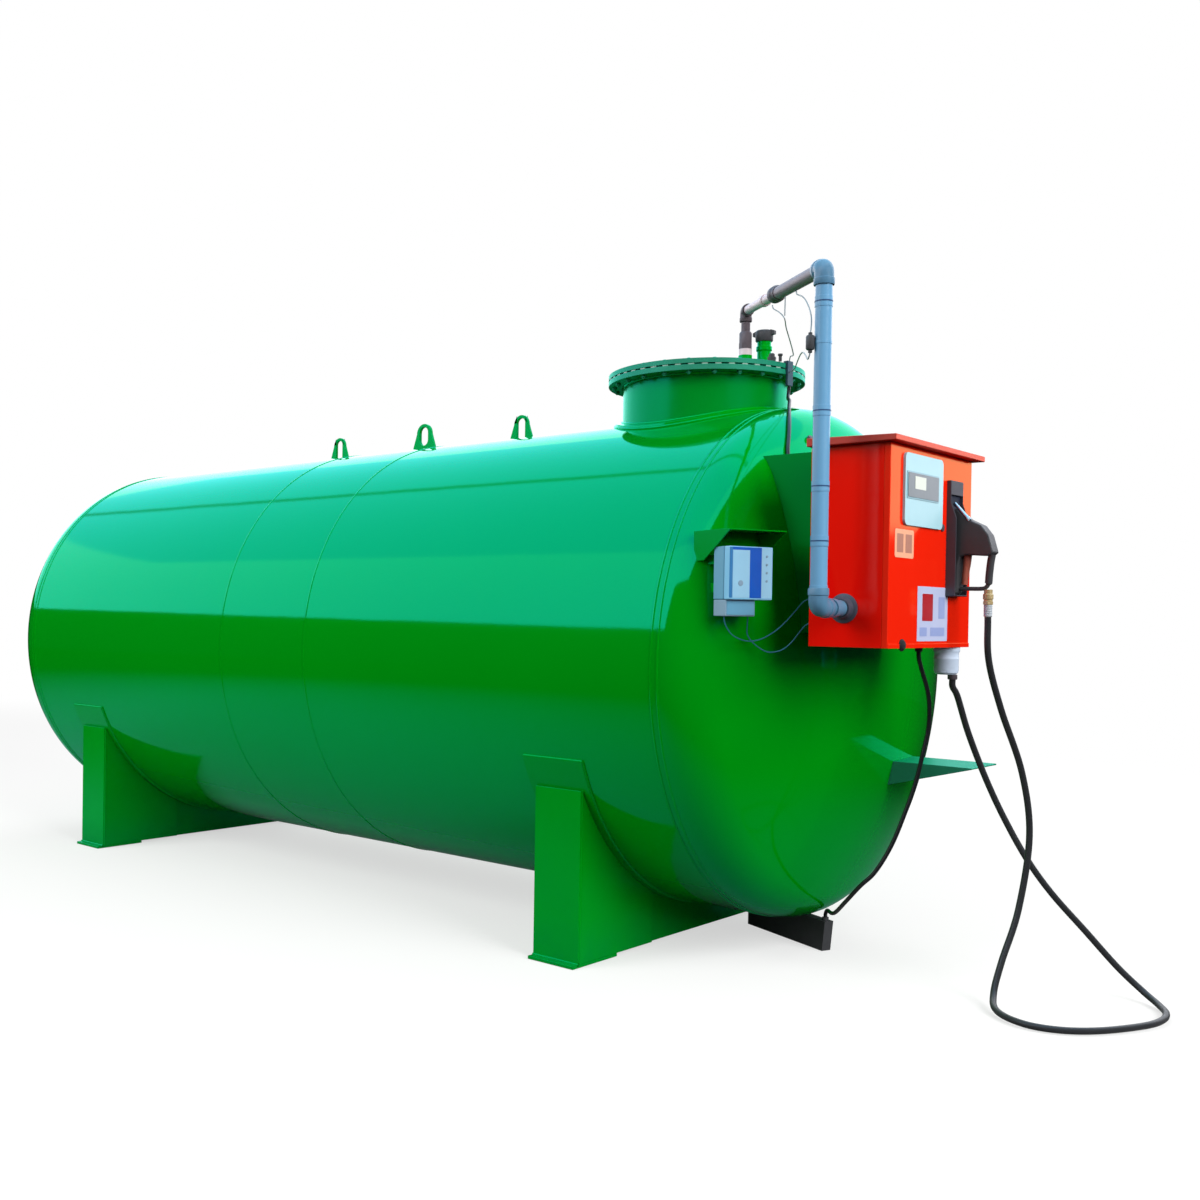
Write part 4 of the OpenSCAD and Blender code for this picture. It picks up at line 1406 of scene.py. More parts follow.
@dataclass(frozen=True)
class Saddle:
    """A plate saddle with its wear plate, end boxes and feet."""

    end: End
    bead: Bead = Bead(0.006, 0.002)
    edge_mm: float = 1.6
    plate: float = 0.010
    wear_plate: float = 0.008
    wear_steps: int = 300

    def part(self, what: str) -> str:
        """Give the frame's name of one of this saddle's parts."""
        return f"{self.end.value}_{what}"

    def build(self) -> None:
        """Dress the plates and lay the fillet welds."""
        dress([self.part("wear_plate")], STEEL_ENAMEL)
        plates = ("saddle_webs", "saddle_side_plates", "saddle_end_plates", "saddle_feet")
        dress([self.part(p) for p in plates], STEEL_ENAMEL, self.edge_mm)
        beads = Shape()
        self.corner_beads(beads)
        self.wear_beads(beads)
        present(self.part("saddle_beads"), beads, STEEL_ENAMEL, smooth_angle=60)

    def corner_beads(self, shape: Shape) -> None:
        """Lay upright beads where the end plates meet the side plates, and one along each foot.

        Args:
            shape: Gets the beads.
        """
        low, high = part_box(self.part("saddle_end_plates"))
        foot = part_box(self.part("saddle_feet"))[1].z
        inset = 0.002
        count = int((high.z - foot) / BEAD_STEP)
        for side in (-1, 1):
            y = side * (high.y - self.plate)
            for x in (low.x + inset, high.x - inset):
                self.bead.run(shape, straight(Vector((x, y, foot)), Vector((x, y, high.z)), count))
            edge = side * high.y
            self.bead.run(shape, straight(Vector((low.x, edge, foot)), Vector((high.x, edge, foot)), 26))

    def wear_beads(self, shape: Shape) -> None:
        """Lay the bead around the wear plate's edge.

        Args:
            shape: Gets the beads.
        """
        low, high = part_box(self.part("wear_plate"))
        tank = TankShell()
        reach = tank.radius + 0.001
        start = math.degrees(math.asin((high.z - tank.axis_height) / (tank.radius + self.wear_plate)))
        turns = [
            math.radians(start - (180 + 2 * start) * k / self.wear_steps) for k in range(self.wear_steps + 1)
        ]
        for x in (low.x, high.x):
            path = [Vector((x, reach * math.cos(a), tank.axis_height + reach * math.sin(a))) for a in turns]
            self.bead.run(shape, path)
        a = math.radians(start)
        z = tank.axis_height + reach * math.sin(a)
        for side in (-1, 1):
            y = side * reach * math.cos(a)
            self.bead.run(shape, straight(Vector((low.x, y, z)), Vector((high.x, y, z)), 34))


@dataclass(frozen=True)
class Manway:
    """The manway: neck, collar, flange, gasket and a bolted cover."""

    bolts: int = 24
    bolt_circle: float = 0.362
    nut_half: float = 0.009
    collar: float = 0.030
    collar_rise: float = 0.014
    ring_steps: int = 320
    # Size of the pale blocks that are painted glints on the rim.
    glint_length: float = 0.028
    glint_half: float = 0.011
    plug_back: float = 0.062
    plug_side: float = -0.100
    bead: Bead = Bead(0.007, 0.002)

    def middle(self) -> Vector:
        """Give the middle of the cover's top."""
        low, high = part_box("manway_cover")
        return Vector(((low.x + high.x) / 2, 0, high.z))

    def turns(self) -> list[float]:
        """Give the angles of the points around a bead."""
        return [2 * math.pi * k / self.ring_steps for k in range(self.ring_steps)]

    def on_shell(self, radius: float, lift: float) -> list[Vector]:
        """Give the curve where an upright cylinder meets the shell.

        Args:
            radius: The cylinder's radius.
            lift: How far above the shell the curve runs.

        Returns:
            The points of the closed curve.
        """
        tank, foot = TankShell(), self.middle()
        path = []
        for a in self.turns():
            y = radius * math.sin(a)
            rise = math.sqrt((tank.radius + lift) ** 2 - y * y)
            path.append(Vector((foot.x + radius * math.cos(a), y, tank.axis_height + rise)))
        return path

    def build(self) -> None:
        """Dress the plates, lay the welds and set the bolts."""
        dress(("manway_neck",), NECK_ENAMEL)
        dress(("manway_collar",), TANK_ENAMEL)
        dress(("manway_flange", "manway_cover"), FLANGE_ENAMEL, 1.5)
        dress(("manway_gasket",), RUBBER_GASKET)
        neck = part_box("manway_neck")
        radius = (neck[1].x - neck[0].x) / 2
        beads = Shape()
        self.bead.run(beads, self.on_shell(radius + self.bead.sunk, self.collar_rise), closed=True)
        self.bead.run(beads, self.on_shell(radius + self.collar, self.bead.sunk), closed=True)
        foot = self.middle()
        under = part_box("manway_flange")[0].z
        ring = [Vector((foot.x + radius * math.cos(a), radius * math.sin(a), under)) for a in self.turns()]
        self.bead.run(beads, ring, closed=True)
        present("manway_weld_beads", beads, TANK_ENAMEL, smooth_angle=60)
        self.set_bolts(under)
        self.cover_plug()

    def set_bolts(self, under: float) -> None:
        """Set domed bolts with thin nuts below, and pale blocks between flange and cover as painted glints.

        Args:
            under: Height of the flange's underside.
        """
        foot = self.middle()
        bolts, glints = Shape(), Shape()
        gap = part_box("manway_gasket")
        for k in range(self.bolts):
            a = 2 * math.pi * (k + 0.5) / self.bolts
            at = Vector((foot.x + self.bolt_circle * math.cos(a), self.bolt_circle * math.sin(a), foot.z))
            low = Vector((at.x, at.y, under))
            r = self.nut_half / math.cos(math.pi / 6)
            bolts.lathe([(0, 0), (0.011, 0), (0.010, 0.003), (0.006, 0.0055), (0, 0.006)], at, UP, 20)
            bolts.lathe([(0, 0), (r, 0), (r, 0.007), (r * 0.88, 0.009), (0, 0.009)], low, -UP, 6)
            bolts.lathe([(0, 0.009), (0.006, 0.009), (0.005, 0.013), (0, 0.013)], low, -UP, 12)
        # Pale blocks in the gasket's gap: painted glints along the rim.
        for k in range(2 * self.bolts):
            a = 2 * math.pi * (k + 0.25) / (2 * self.bolts)
            turn = Matrix.Translation((foot.x, 0, 0)) @ Matrix.Rotation(a, 4, "Z")
            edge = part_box("manway_cover")[1].x - foot.x - 0.002
            low_corner = (edge - self.glint_length, -self.glint_half, gap[0].z)
            glints.block(low_corner, (edge, self.glint_half, gap[1].z), turn)
        present("manway_bolts", bolts, FLANGE_ENAMEL, 0.5)
        present("manway_rim_glints", glints, RIM_GLINT_ENAMEL)

    def cover_plug(self) -> None:
        """Screw a dark plug and a small vent into the cover, next to the fill valve."""
        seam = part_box("outer_shell_front")[1].x
        seat = Vector((seam - self.plug_back, self.plug_side, self.middle().z))
        plug = Shape()
        plug.lathe(
            [(0, 0), (0.015, 0), (0.015, 0.014), (0.011, 0.016), (0.011, 0.028), (0.008, 0.032), (0, 0.032)],
            seat, UP, 24,
        )
        plug.lathe([(0, 0.010), (0.017, 0.010), (0.017, 0.018), (0, 0.018)], seat, UP, 6)
        vent = seat + Vector((0.030, 0.010, 0))
        plug.lathe(
            [(0, 0), (0.006, 0), (0.006, 0.02), (0.009, 0.022), (0.009, 0.028), (0, 0.03)], vent, UP, 20
        )
        present("cover_plug", plug, BLACK_NYLON, 0.5)


@dataclass(frozen=True)
class LiftingLugs:
    """Three eye plates on the crown, each with a fillet weld along its foot."""

    bead: Bead = Bead(0.007, 0.002)

    def build(self) -> None:
        """Dress the lugs and lay their welds."""
        names = ("rear_lifting_lug", "middle_lifting_lug", "front_lifting_lug")
        dress(names, STEEL_ENAMEL, 2.0)
        beads = Shape()
        tank = TankShell()
        for name in names:
            low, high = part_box(name)
            for side in (-1, 1):
                y = side * (high.y - low.y) / 2
                z = tank.axis_height + math.sqrt(tank.radius**2 - y * y)
                self.bead.run(beads, straight(Vector((low.x, y, z)), Vector((high.x, y, z)), 18))
        present("lug_weld_beads", beads, STEEL_ENAMEL, smooth_angle=60)


# ---- Suction line and cover fittings ----


@dataclass(frozen=True)
class FillValve:
    """Fill valve on the cover: a green body and a dark cap with two cam ears."""

    def build(self) -> None:
        """Build the body and the cap."""
        low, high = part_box("fill_valve")
        foot = Vector(((low.x + high.x) / 2, (low.y + high.y) / 2, low.z))
        tall = high.z - low.z
        body = Shape()
        body.lathe(
            [
                (0, 0), (0.030, 0), (0.030, 0.012), (0.0285, 0.015), (0.026, 0.022), (0.026, 0.056),
                (0.030, 0.060), (0.030, 0.074), (0.026, 0.078), (0.026, tall), (0, tall),
            ],
            foot,
        )
        present("fill_valve_body", body, STEEL_ENAMEL, 0.8, stands_for=["fill_valve"])
        cap = Shape()
        top = foot + Vector((0, 0, tall))
        cap.lathe(
            [
                (0, -0.012), (0.030, -0.012), (0.033, -0.008), (0.034, 0.022), (0.030, 0.030), (0.012, 0.034),
                (0, 0.034),
            ],
            top, UP, 40,
        )
        for side in (-1, 1):
            root = Matrix.Translation(top + Vector((side * 0.036, 0.008, 0.020)))
            place = root @ Matrix.Rotation(math.pi / 2, 4, "X")
            ear = [(-0.010, -0.010), (0.010, -0.008), (0.010, 0.006), (-0.006, 0.012)]
            cap.prism([(side * x, y) for x, y in ear][:: side], place, 0.016)
        present("fill_valve_cap", cap, BLACK_NYLON, 0.8, stands_for=["fill_cap"])


@dataclass(frozen=True)
class SuctionLine:
    """Riser, sloping pipe, down pipe and the stub into the cabinet."""

    steel_radius: float = 0.017
    plastic_radius: float = 0.025
    elbow_radius: float = 0.031
    fitting_radius: float = 0.0235
    riser_leg: float = 0.042
    top_leg: float = 0.052
    bottom_leg: float = 0.058
    union_length: float = 0.086
    socket_proud: float = 0.0014
    # How far the painted shadow rings stand out from the sockets.
    shadow_ring_proud: float = 0.0006
    collar_at: float = 0.29
    union_at: float = 0.49
    socket_heights: tuple[float, ...] = (1.317, 1.465, 1.628, 1.852, 2.176)

    def bends(self) -> tuple[Vector, Vector, Vector, Vector]:
        """Give the riser's foot, its bend, the top bend and the bottom bend.

        Returns:
            The four points.
        """
        low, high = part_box("suction_riser")
        foot = Vector(((low.x + high.x) / 2, (low.y + high.y) / 2, low.z))
        riser = Vector((foot.x, foot.y, high.z - 0.024))
        down_low, down_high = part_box("down_pipe")
        x, y = (down_low.x + down_high.x) / 2, (down_low.y + down_high.y) / 2
        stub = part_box("cabinet_stub")
        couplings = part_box("pipe_couplings")
        top = Vector((x, y, couplings[1].z - self.elbow_radius))
        return foot, riser, top, Vector((x, y, (stub[0].z + stub[1].z) / 2))

    def build(self) -> None:
        """Build the run from the cover to the cabinet."""
        foot, riser, top, bottom = self.bends()
        self.riser(foot, riser, top)
        self.slope(riser, top)
        self.drop(top, bottom)
        self.elbows(riser, top, bottom)

    def elbow(
        self, shape: Shape, corner: Vector, to_a: Vector, to_b: Vector, radius: float, leg: float
    ) -> None:
        """Sweep a pipe elbow with a collar at both mouths.

        Args:
            shape: Gets the elbow.
            corner: Where the two axes meet.
            to_a: Direction of the first mouth.
            to_b: Direction of the second mouth.
            radius: Outer radius of the elbow.
            leg: Distance from the corner to a mouth.
        """
        a, b = to_a.normalized(), to_b.normalized()
        start, end = corner + leg * a, corner + leg * b
        slim, steps = 0.93 * radius, 12
        p, q = corner + 0.42 * leg * a, corner + 0.42 * leg * b
        path = [start]
        for k in range(steps + 1):
            t = k / steps
            path.append((1 - t) ** 2 * p + 2 * t * (1 - t) * corner + t**2 * q)
        path.append(end)
        shape.tube(path, slim, 28)
        for mouth, way in ((start, a), (end, b)):
            collar = [mouth - share * leg * way for share in (0.40, 0.36, 0.04, 0.0)]
            shape.tube(collar, [slim, radius, radius, radius * 0.96], 28)

    def riser(self, foot: Vector, bend: Vector, top: Vector) -> None:
        """Build the green socket, the iron nipple, the zinc pipe and its elbow.

        Args:
            foot: Where the riser stands.
            bend: Its upper bend.
            top: The far end of the slope.
        """
        socket = Shape()
        socket.lathe(
            [(0, 0), (0.028, 0), (0.028, 0.006), (0.026, 0.010), (0.026, 0.038), (0, 0.038)], foot, UP, 32
        )
        present("riser_socket", socket, STEEL_ENAMEL, 0.8)
        nut = Shape()
        nut.lathe([(0, 0.038), (0.0245, 0.038), (0.0245, 0.062), (0, 0.062)], foot, UP, 32)
        present("riser_ring", nut, ZINC_TUBE, 0.5)
        fitting = Shape()
        fitting.lathe([(0, 0.062), (0.025, 0.062), (0.025, 0.084), (0, 0.084)], foot, UP, 8)
        fitting.lathe(
            [(0, 0.084), (0.0235, 0.084), (0.0235, 0.122), (0.0195, 0.128), (0, 0.128)], foot, UP, 32
        )
        r, end = self.steel_radius, bend.z - foot.z - 0.02
        fitting.lathe([(0, 0.097), (r, 0.097), (r, end), (0, end)], foot, UP, 32)
        self.elbow(fitting, bend, -UP, top - bend, self.fitting_radius, self.riser_leg)
        present("riser_fittings", fitting, DARK_ZINC, 0.6, stands_for=["suction_riser"])

    def slope(self, bend: Vector, top: Vector) -> None:
        """Build the zinc pipe with its union and the grey pipe beyond it.

        Args:
            bend: The riser's bend.
            top: The top elbow's corner.
        """
        run = top - bend
        length, way = run.length, run.normalized()
        split = self.union_at * length
        zinc = Shape()
        r = self.steel_radius
        zinc.lathe([(0, 0.03), (r, 0.03), (r, split - 0.02), (0, split - 0.02)], bend, way, 32)
        collar = self.collar_at * length
        zinc.lathe(
            [
                (0, collar - 0.02), (0.0205, collar - 0.02), (0.0215, collar - 0.016),
                (0.0215, collar + 0.016), (0.0205, collar + 0.02), (0, collar + 0.02),
            ],
            bend, way, 32,
        )
        stands_for = ["steel_suction_pipe"]
        present("sloping_zinc_pipe", zinc, ZINC_TUBE, 0.5, stands_for=stands_for)
        union = Shape()
        start = split - self.union_length
        union.lathe([(0, start), (0.0235, start), (0.0235, start + 0.022), (0, start + 0.022)], bend, way, 8)
        union.lathe(
            [
                (0, start + 0.022), (0.029, start + 0.022), (0.029, start + 0.056), (0.025, start + 0.062),
                (0.0245, start + 0.084), (0, start + 0.084),
            ],
            bend,
            way,
            36,
        )
        present("pipe_union", union, DARK_ZINC, 0.8)
        grey = Shape()
        r = self.plastic_radius - 0.003
        end = length - 0.045
        grey.lathe([(0, split - 0.004), (r, split - 0.004), (r, end), (0, end)], bend, way, 36)
        stands_for = ["plastic_suction_pipe"]
        present("sloping_grey_pipe", grey, GREY_TUBE, 0.5, stands_for=stands_for)

    def drop(self, top: Vector, bottom: Vector) -> None:
        """Build the down pipe with its sockets and a thin dark ring at each, a painted shadow line.

        Args:
            top: The top elbow's corner.
            bottom: The bottom elbow's corner.
        """
        pipe, sockets, shadow_rings = Shape(), Shape(), Shape()
        r, tall = self.plastic_radius, top.z - bottom.z
        pipe.lathe([(0, 0.03), (r, 0.03), (r, tall - 0.03), (0, tall - 0.03)], bottom, UP, 40)
        wide = r + self.socket_proud
        ring = wide + self.shadow_ring_proud
        for z in self.socket_heights:
            h = z - bottom.z
            sockets.lathe(
                [(0, h - 0.018), (wide, h - 0.016), (wide, h + 0.016), (0, h + 0.018)], bottom, UP, 40
            )
            # A thin dark ring at each socket: a painted shadow line.
            low, high = h - 0.002, h + 0.002
            shadow_rings.lathe([(0, low), (ring, low), (ring, high), (0, high)], bottom, UP, 40)
        present("down_pipe_tube", pipe, PVC_TUBE, 0.5, stands_for=["down_pipe"])
        present("down_pipe_sockets", sockets, PVC_TUBE, 0.5, stands_for=["pipe_couplings"])
        present("down_pipe_shadow_rings", shadow_rings, PVC_SHADOW_RING)

    def elbows(self, riser: Vector, top: Vector, bottom: Vector) -> None:
        """Build the two plastic elbows, the stub and the rubber boss on the cabinet.

        Args:
            riser: The riser's bend.
            top: The top elbow's corner.
            bottom: The bottom elbow's corner.
        """
        bends = Shape()
        self.elbow(bends, top, riser - top, -UP, self.elbow_radius, self.top_leg)
        present("top_elbow", bends, PVC_SOCKET, 0.5)
        low = Shape()
        inward = Vector((0, 1, 0))
        self.elbow(low, bottom, UP, inward, self.elbow_radius, self.bottom_leg)
        boss_low, boss_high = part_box("wall_boss")
        r = self.plastic_radius
        reach = boss_high.y - bottom.y
        low.lathe([(0, 0.05), (r, 0.05), (r, reach + 0.015), (0, reach + 0.015)], bottom, inward, 36)
        low.lathe([(0, 0.074), (0.029, 0.074), (0.029, 0.098), (0, 0.098)], bottom, inward, 36)
        present("cabinet_elbow", low, PVC_SOCKET, 0.5, stands_for=["cabinet_stub"])
        boss = Shape()
        thick = boss_high.y - boss_low.y
        wide = (boss_high.x - boss_low.x) / 2
        face = Vector((bottom.x, boss_high.y, bottom.z))
        boss.lathe(
            [
                (0, 0), (wide, 0), (wide, 0.004), (wide - 0.004, 0.007), (wide - 0.010, 0.008),
                (wide - 0.013, thick - 0.003), (r + 0.006, thick), (r + 0.006, thick + 0.012),
                (0, thick + 0.012),
            ],
            face,
            -inward,
            48,
        )
        present("wall_boss_rubber", boss, DARK_RUBBER, 0.6, stands_for=["wall_boss"])


@dataclass(frozen=True)
class SensorCables:
    """The cables clipped to the tank: from the cover's rim, the pipe and the level sensor."""

    def build(self) -> None:
        """Dress the clip, the sensor and their cables."""
        dress(("rim_clip",), CLIP_PAINT, 1.5)
        self.sensor()
        self.soften("crown_cable", CABLE_JACKET)
        self.soften("sensor_cables", WIRE_GREY)
        self.soften("detector_wires", WIRE_JACKET)

    def sensor(self) -> None:
        """Build the black sensor body with a gland at each end, and its thin clip on the down pipe."""
        low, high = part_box("level_sensor")
        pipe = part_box("down_pipe")
        across = (pipe[0].x + pipe[1].x) / 2
        tall = high.z - low.z
        body = Shape()
        body.lathe(
            [
                (0, 0), (0.006, 0), (0.006, 0.007), (0.011, 0.009), (0.013, 0.013), (0.013, tall - 0.013),
                (0.011, tall - 0.009), (0.006, tall - 0.007), (0.006, tall), (0, tall),
            ],
            Vector((low.x + 0.013, low.y + 0.013, low.z)), UP, 28,
        )
        present("level_sensor_body", body, BLACK_NYLON, 0.6, stands_for=["level_sensor"])
        clip = Shape()
        middle = Vector((across, (pipe[0].y + pipe[1].y) / 2, low.z + tall / 2))
        clip.lathe([(0, -0.004), (0.0262, -0.004), (0.0262, 0.004), (0, 0.004)], middle, UP, 40)
        present("level_sensor_clip", clip, PVC_TUBE, 0.3)

    def soften(self, node: str, finish: Finish) -> None:
        """Round a faceted cable of the frame by one subdivision.

        Args:
            node: The frame's name of the cable.
            finish: The finish it gets.
        """
        dress((node,), finish)
        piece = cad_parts[node]
        join_doubles(piece)
        rounder = piece.modifiers.new("rounder", "SUBSURF")
        rounder.levels = rounder.render_levels = 1


# ---- Cabinet ----


@dataclass(frozen=True)
class Plate:
    """A thin plate with round corners, in millimetres from the lower left corner of the cabinet's front."""

    name: str
    left: float
    right: float
    low: float
    high: float
    finish: Finish
    slot: Slot
    thick: float = 1.0
    corner: float = 4.0
    lift: float = 0.0

    def outline(self) -> list[tuple[float, float]]:
        """Give the plate's outline with round corners.

        Returns:
            Points across and up.
        """
        points = []
        corners = (
            (self.right - self.corner, self.high - self.corner, 0),
            (self.left + self.corner, self.high - self.corner, 90),
            (self.left + self.corner, self.low + self.corner, 180),
            (self.right - self.corner, self.low + self.corner, 270),
        )
        for y, z, start in corners:
            for k in range(5):
                a = math.radians(start + 90 * k / 4)
                points.append((y + self.corner * math.cos(a), z + self.corner * math.sin(a)))
        return points

    def build(self, face_x: float) -> None:
        """Stick the plate on a face at x.

        Args:
            face_x: The X of the face.
        """
        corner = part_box("cabinet_front")[0]
        shape = Shape()
        place = Matrix(
            (
                (0, 0, 1, face_x + self.lift * MM),
                (1, 0, 0, corner.y),
                (0, 1, 0, corner.z),
                (0, 0, 0, 1),
            )
        )
        outline = [(y * MM, z * MM) for y, z in self.outline()]
        shape.prism(outline, place, self.thick * MM)
        present(self.name, shape, self.finish, min(0.4, 0.3 * self.thick))


@dataclass(frozen=True)
class Cabinet:
    """The dispensing cabinet: folded sheet, roof, display, labels and lock."""

    display_plates: tuple[Plate, ...] = (
        Plate("display_bezel", 98, 334, 460, 545, PANEL_EDGE, Slot.PANEL_PLASTIC, 2, 5),
        Plate("display_window", 103, 329, 465, 540, WINDOW, Slot.BLACK_PLASTIC, 1.5, 4, 2),
        Plate("display_field", 150, 230, 492, 531, WINDOW_LIT, Slot.PANEL_PLASTIC, 0.6, 2, 3.5),
    )
    # Two bare labels: plain fields and no lettering.
    label_plates: tuple[Plate, ...] = (
        Plate("small_label", 38, 172, 277, 364, LABEL_ORANGE, Slot.PANEL_PLASTIC, 0.8, 8),
        Plate("small_label_field_a", 52, 96, 293, 350, LABEL_GREY, Slot.PANEL_PLASTIC, 0.4, 2, 0.8),
        Plate("small_label_field_b", 112, 158, 293, 350, LABEL_GREY, Slot.PANEL_PLASTIC, 0.4, 2, 0.8),
        Plate("large_label", 208, 440, 21, 194, LABEL_PALE, Slot.PANEL_PLASTIC, 0.8, 3),
        Plate("large_label_red", 244, 324, 85, 171, LABEL_RED, Slot.CABINET_PAINT, 0.4, 3, 0.8),
        Plate("large_label_bar_a", 227, 281, 37, 65, LABEL_BLUE, Slot.PANEL_PLASTIC, 0.4, 2, 0.8),
        Plate("large_label_bar_b", 307, 417, 37, 65, LABEL_BLUE, Slot.PANEL_PLASTIC, 0.4, 2, 0.8),
        Plate("large_label_bar_c", 368, 417, 93, 163, LABEL_BLUE, Slot.PANEL_PLASTIC, 0.4, 2, 0.8),
    )
    lock_y: float = -0.335
    lock_z: float = 1.533
    plug_y: float = -0.622
    plug_rise: float = 0.010

    def build(self) -> None:
        """Dress the sheets and build the details on them."""
        dress(("cabinet_case", "cabinet_front"), CABINET_POWDER, 2.0)
        dress(("cabinet_roof",), ROOF_POWDER, 2.0)
        # The brackets' darker green is painted shade.
        dress(("cabinet_brackets",), SHADED_BRACKET_ENAMEL, 1.5)
        dress(("cable_gland",), RUBBER_GASKET, 1.0)
        dress(("display_panel",), PANEL_FILM, 2.0)
        for plate in self.display_plates:
            plate.build(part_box("display_panel")[1].x)
        for plate in self.label_plates:
            plate.build(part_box("cabinet_front")[1].x)
        self.lock_and_plug()
        self.folds()

    def lock_and_plug(self) -> None:
        """Build the cam lock by the display and the drain plug in the bottom fold."""
        low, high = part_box("cabinet_front")
        face = high.x
        out = Vector((1, 0, 0))
        y, z = self.lock_y, self.lock_z
        lock = Shape()
        lock.lathe(
            [(0, 0), (0.012, 0), (0.012, 0.003), (0.0105, 0.005), (0, 0.005)], Vector((face, y, z)), out, 28
        )
        lock.block((face + 0.004, y - 0.001, z - 0.007), (face + 0.0056, y + 0.001, z + 0.007))
        present("cabinet_lock", lock, DARK_ZINC, 0.3)
        seat = Vector((face - 0.001, self.plug_y, low.z + self.plug_rise))
        plug = Shape()
        plug.lathe([(0, 0), (0.019, 0), (0.019, 0.004), (0.013, 0.010), (0, 0.012)], seat, out, 28)
        present("drain_plug", plug, RUBBER_GASKET, 0.5)

    def folds(self) -> None:
        """Build the pale lip along the roof's front and the return fold along the bottom."""
        low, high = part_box("cabinet_roof")
        inset = 0.002
        left, right = low.y + inset, high.y - inset
        sunk, proud, rise = 0.0015, 0.0008, 0.0165
        lip = Shape()
        lip.block((high.x - sunk, left, low.z + inset), (high.x + proud, right, low.z + rise))
        present("roof_front_lip", lip, ROOF_EDGE, 0.5)
        low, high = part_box("cabinet_front")
        left, right = low.y + inset, high.y - inset
        sunk, proud, rise = 0.0005, 0.0025, 0.014
        fold = Shape()
        fold.block((high.x - sunk, left, low.z), (high.x + proud, right, low.z + rise))
        present("front_bottom_fold", fold, CABINET_POWDER, 0.8)


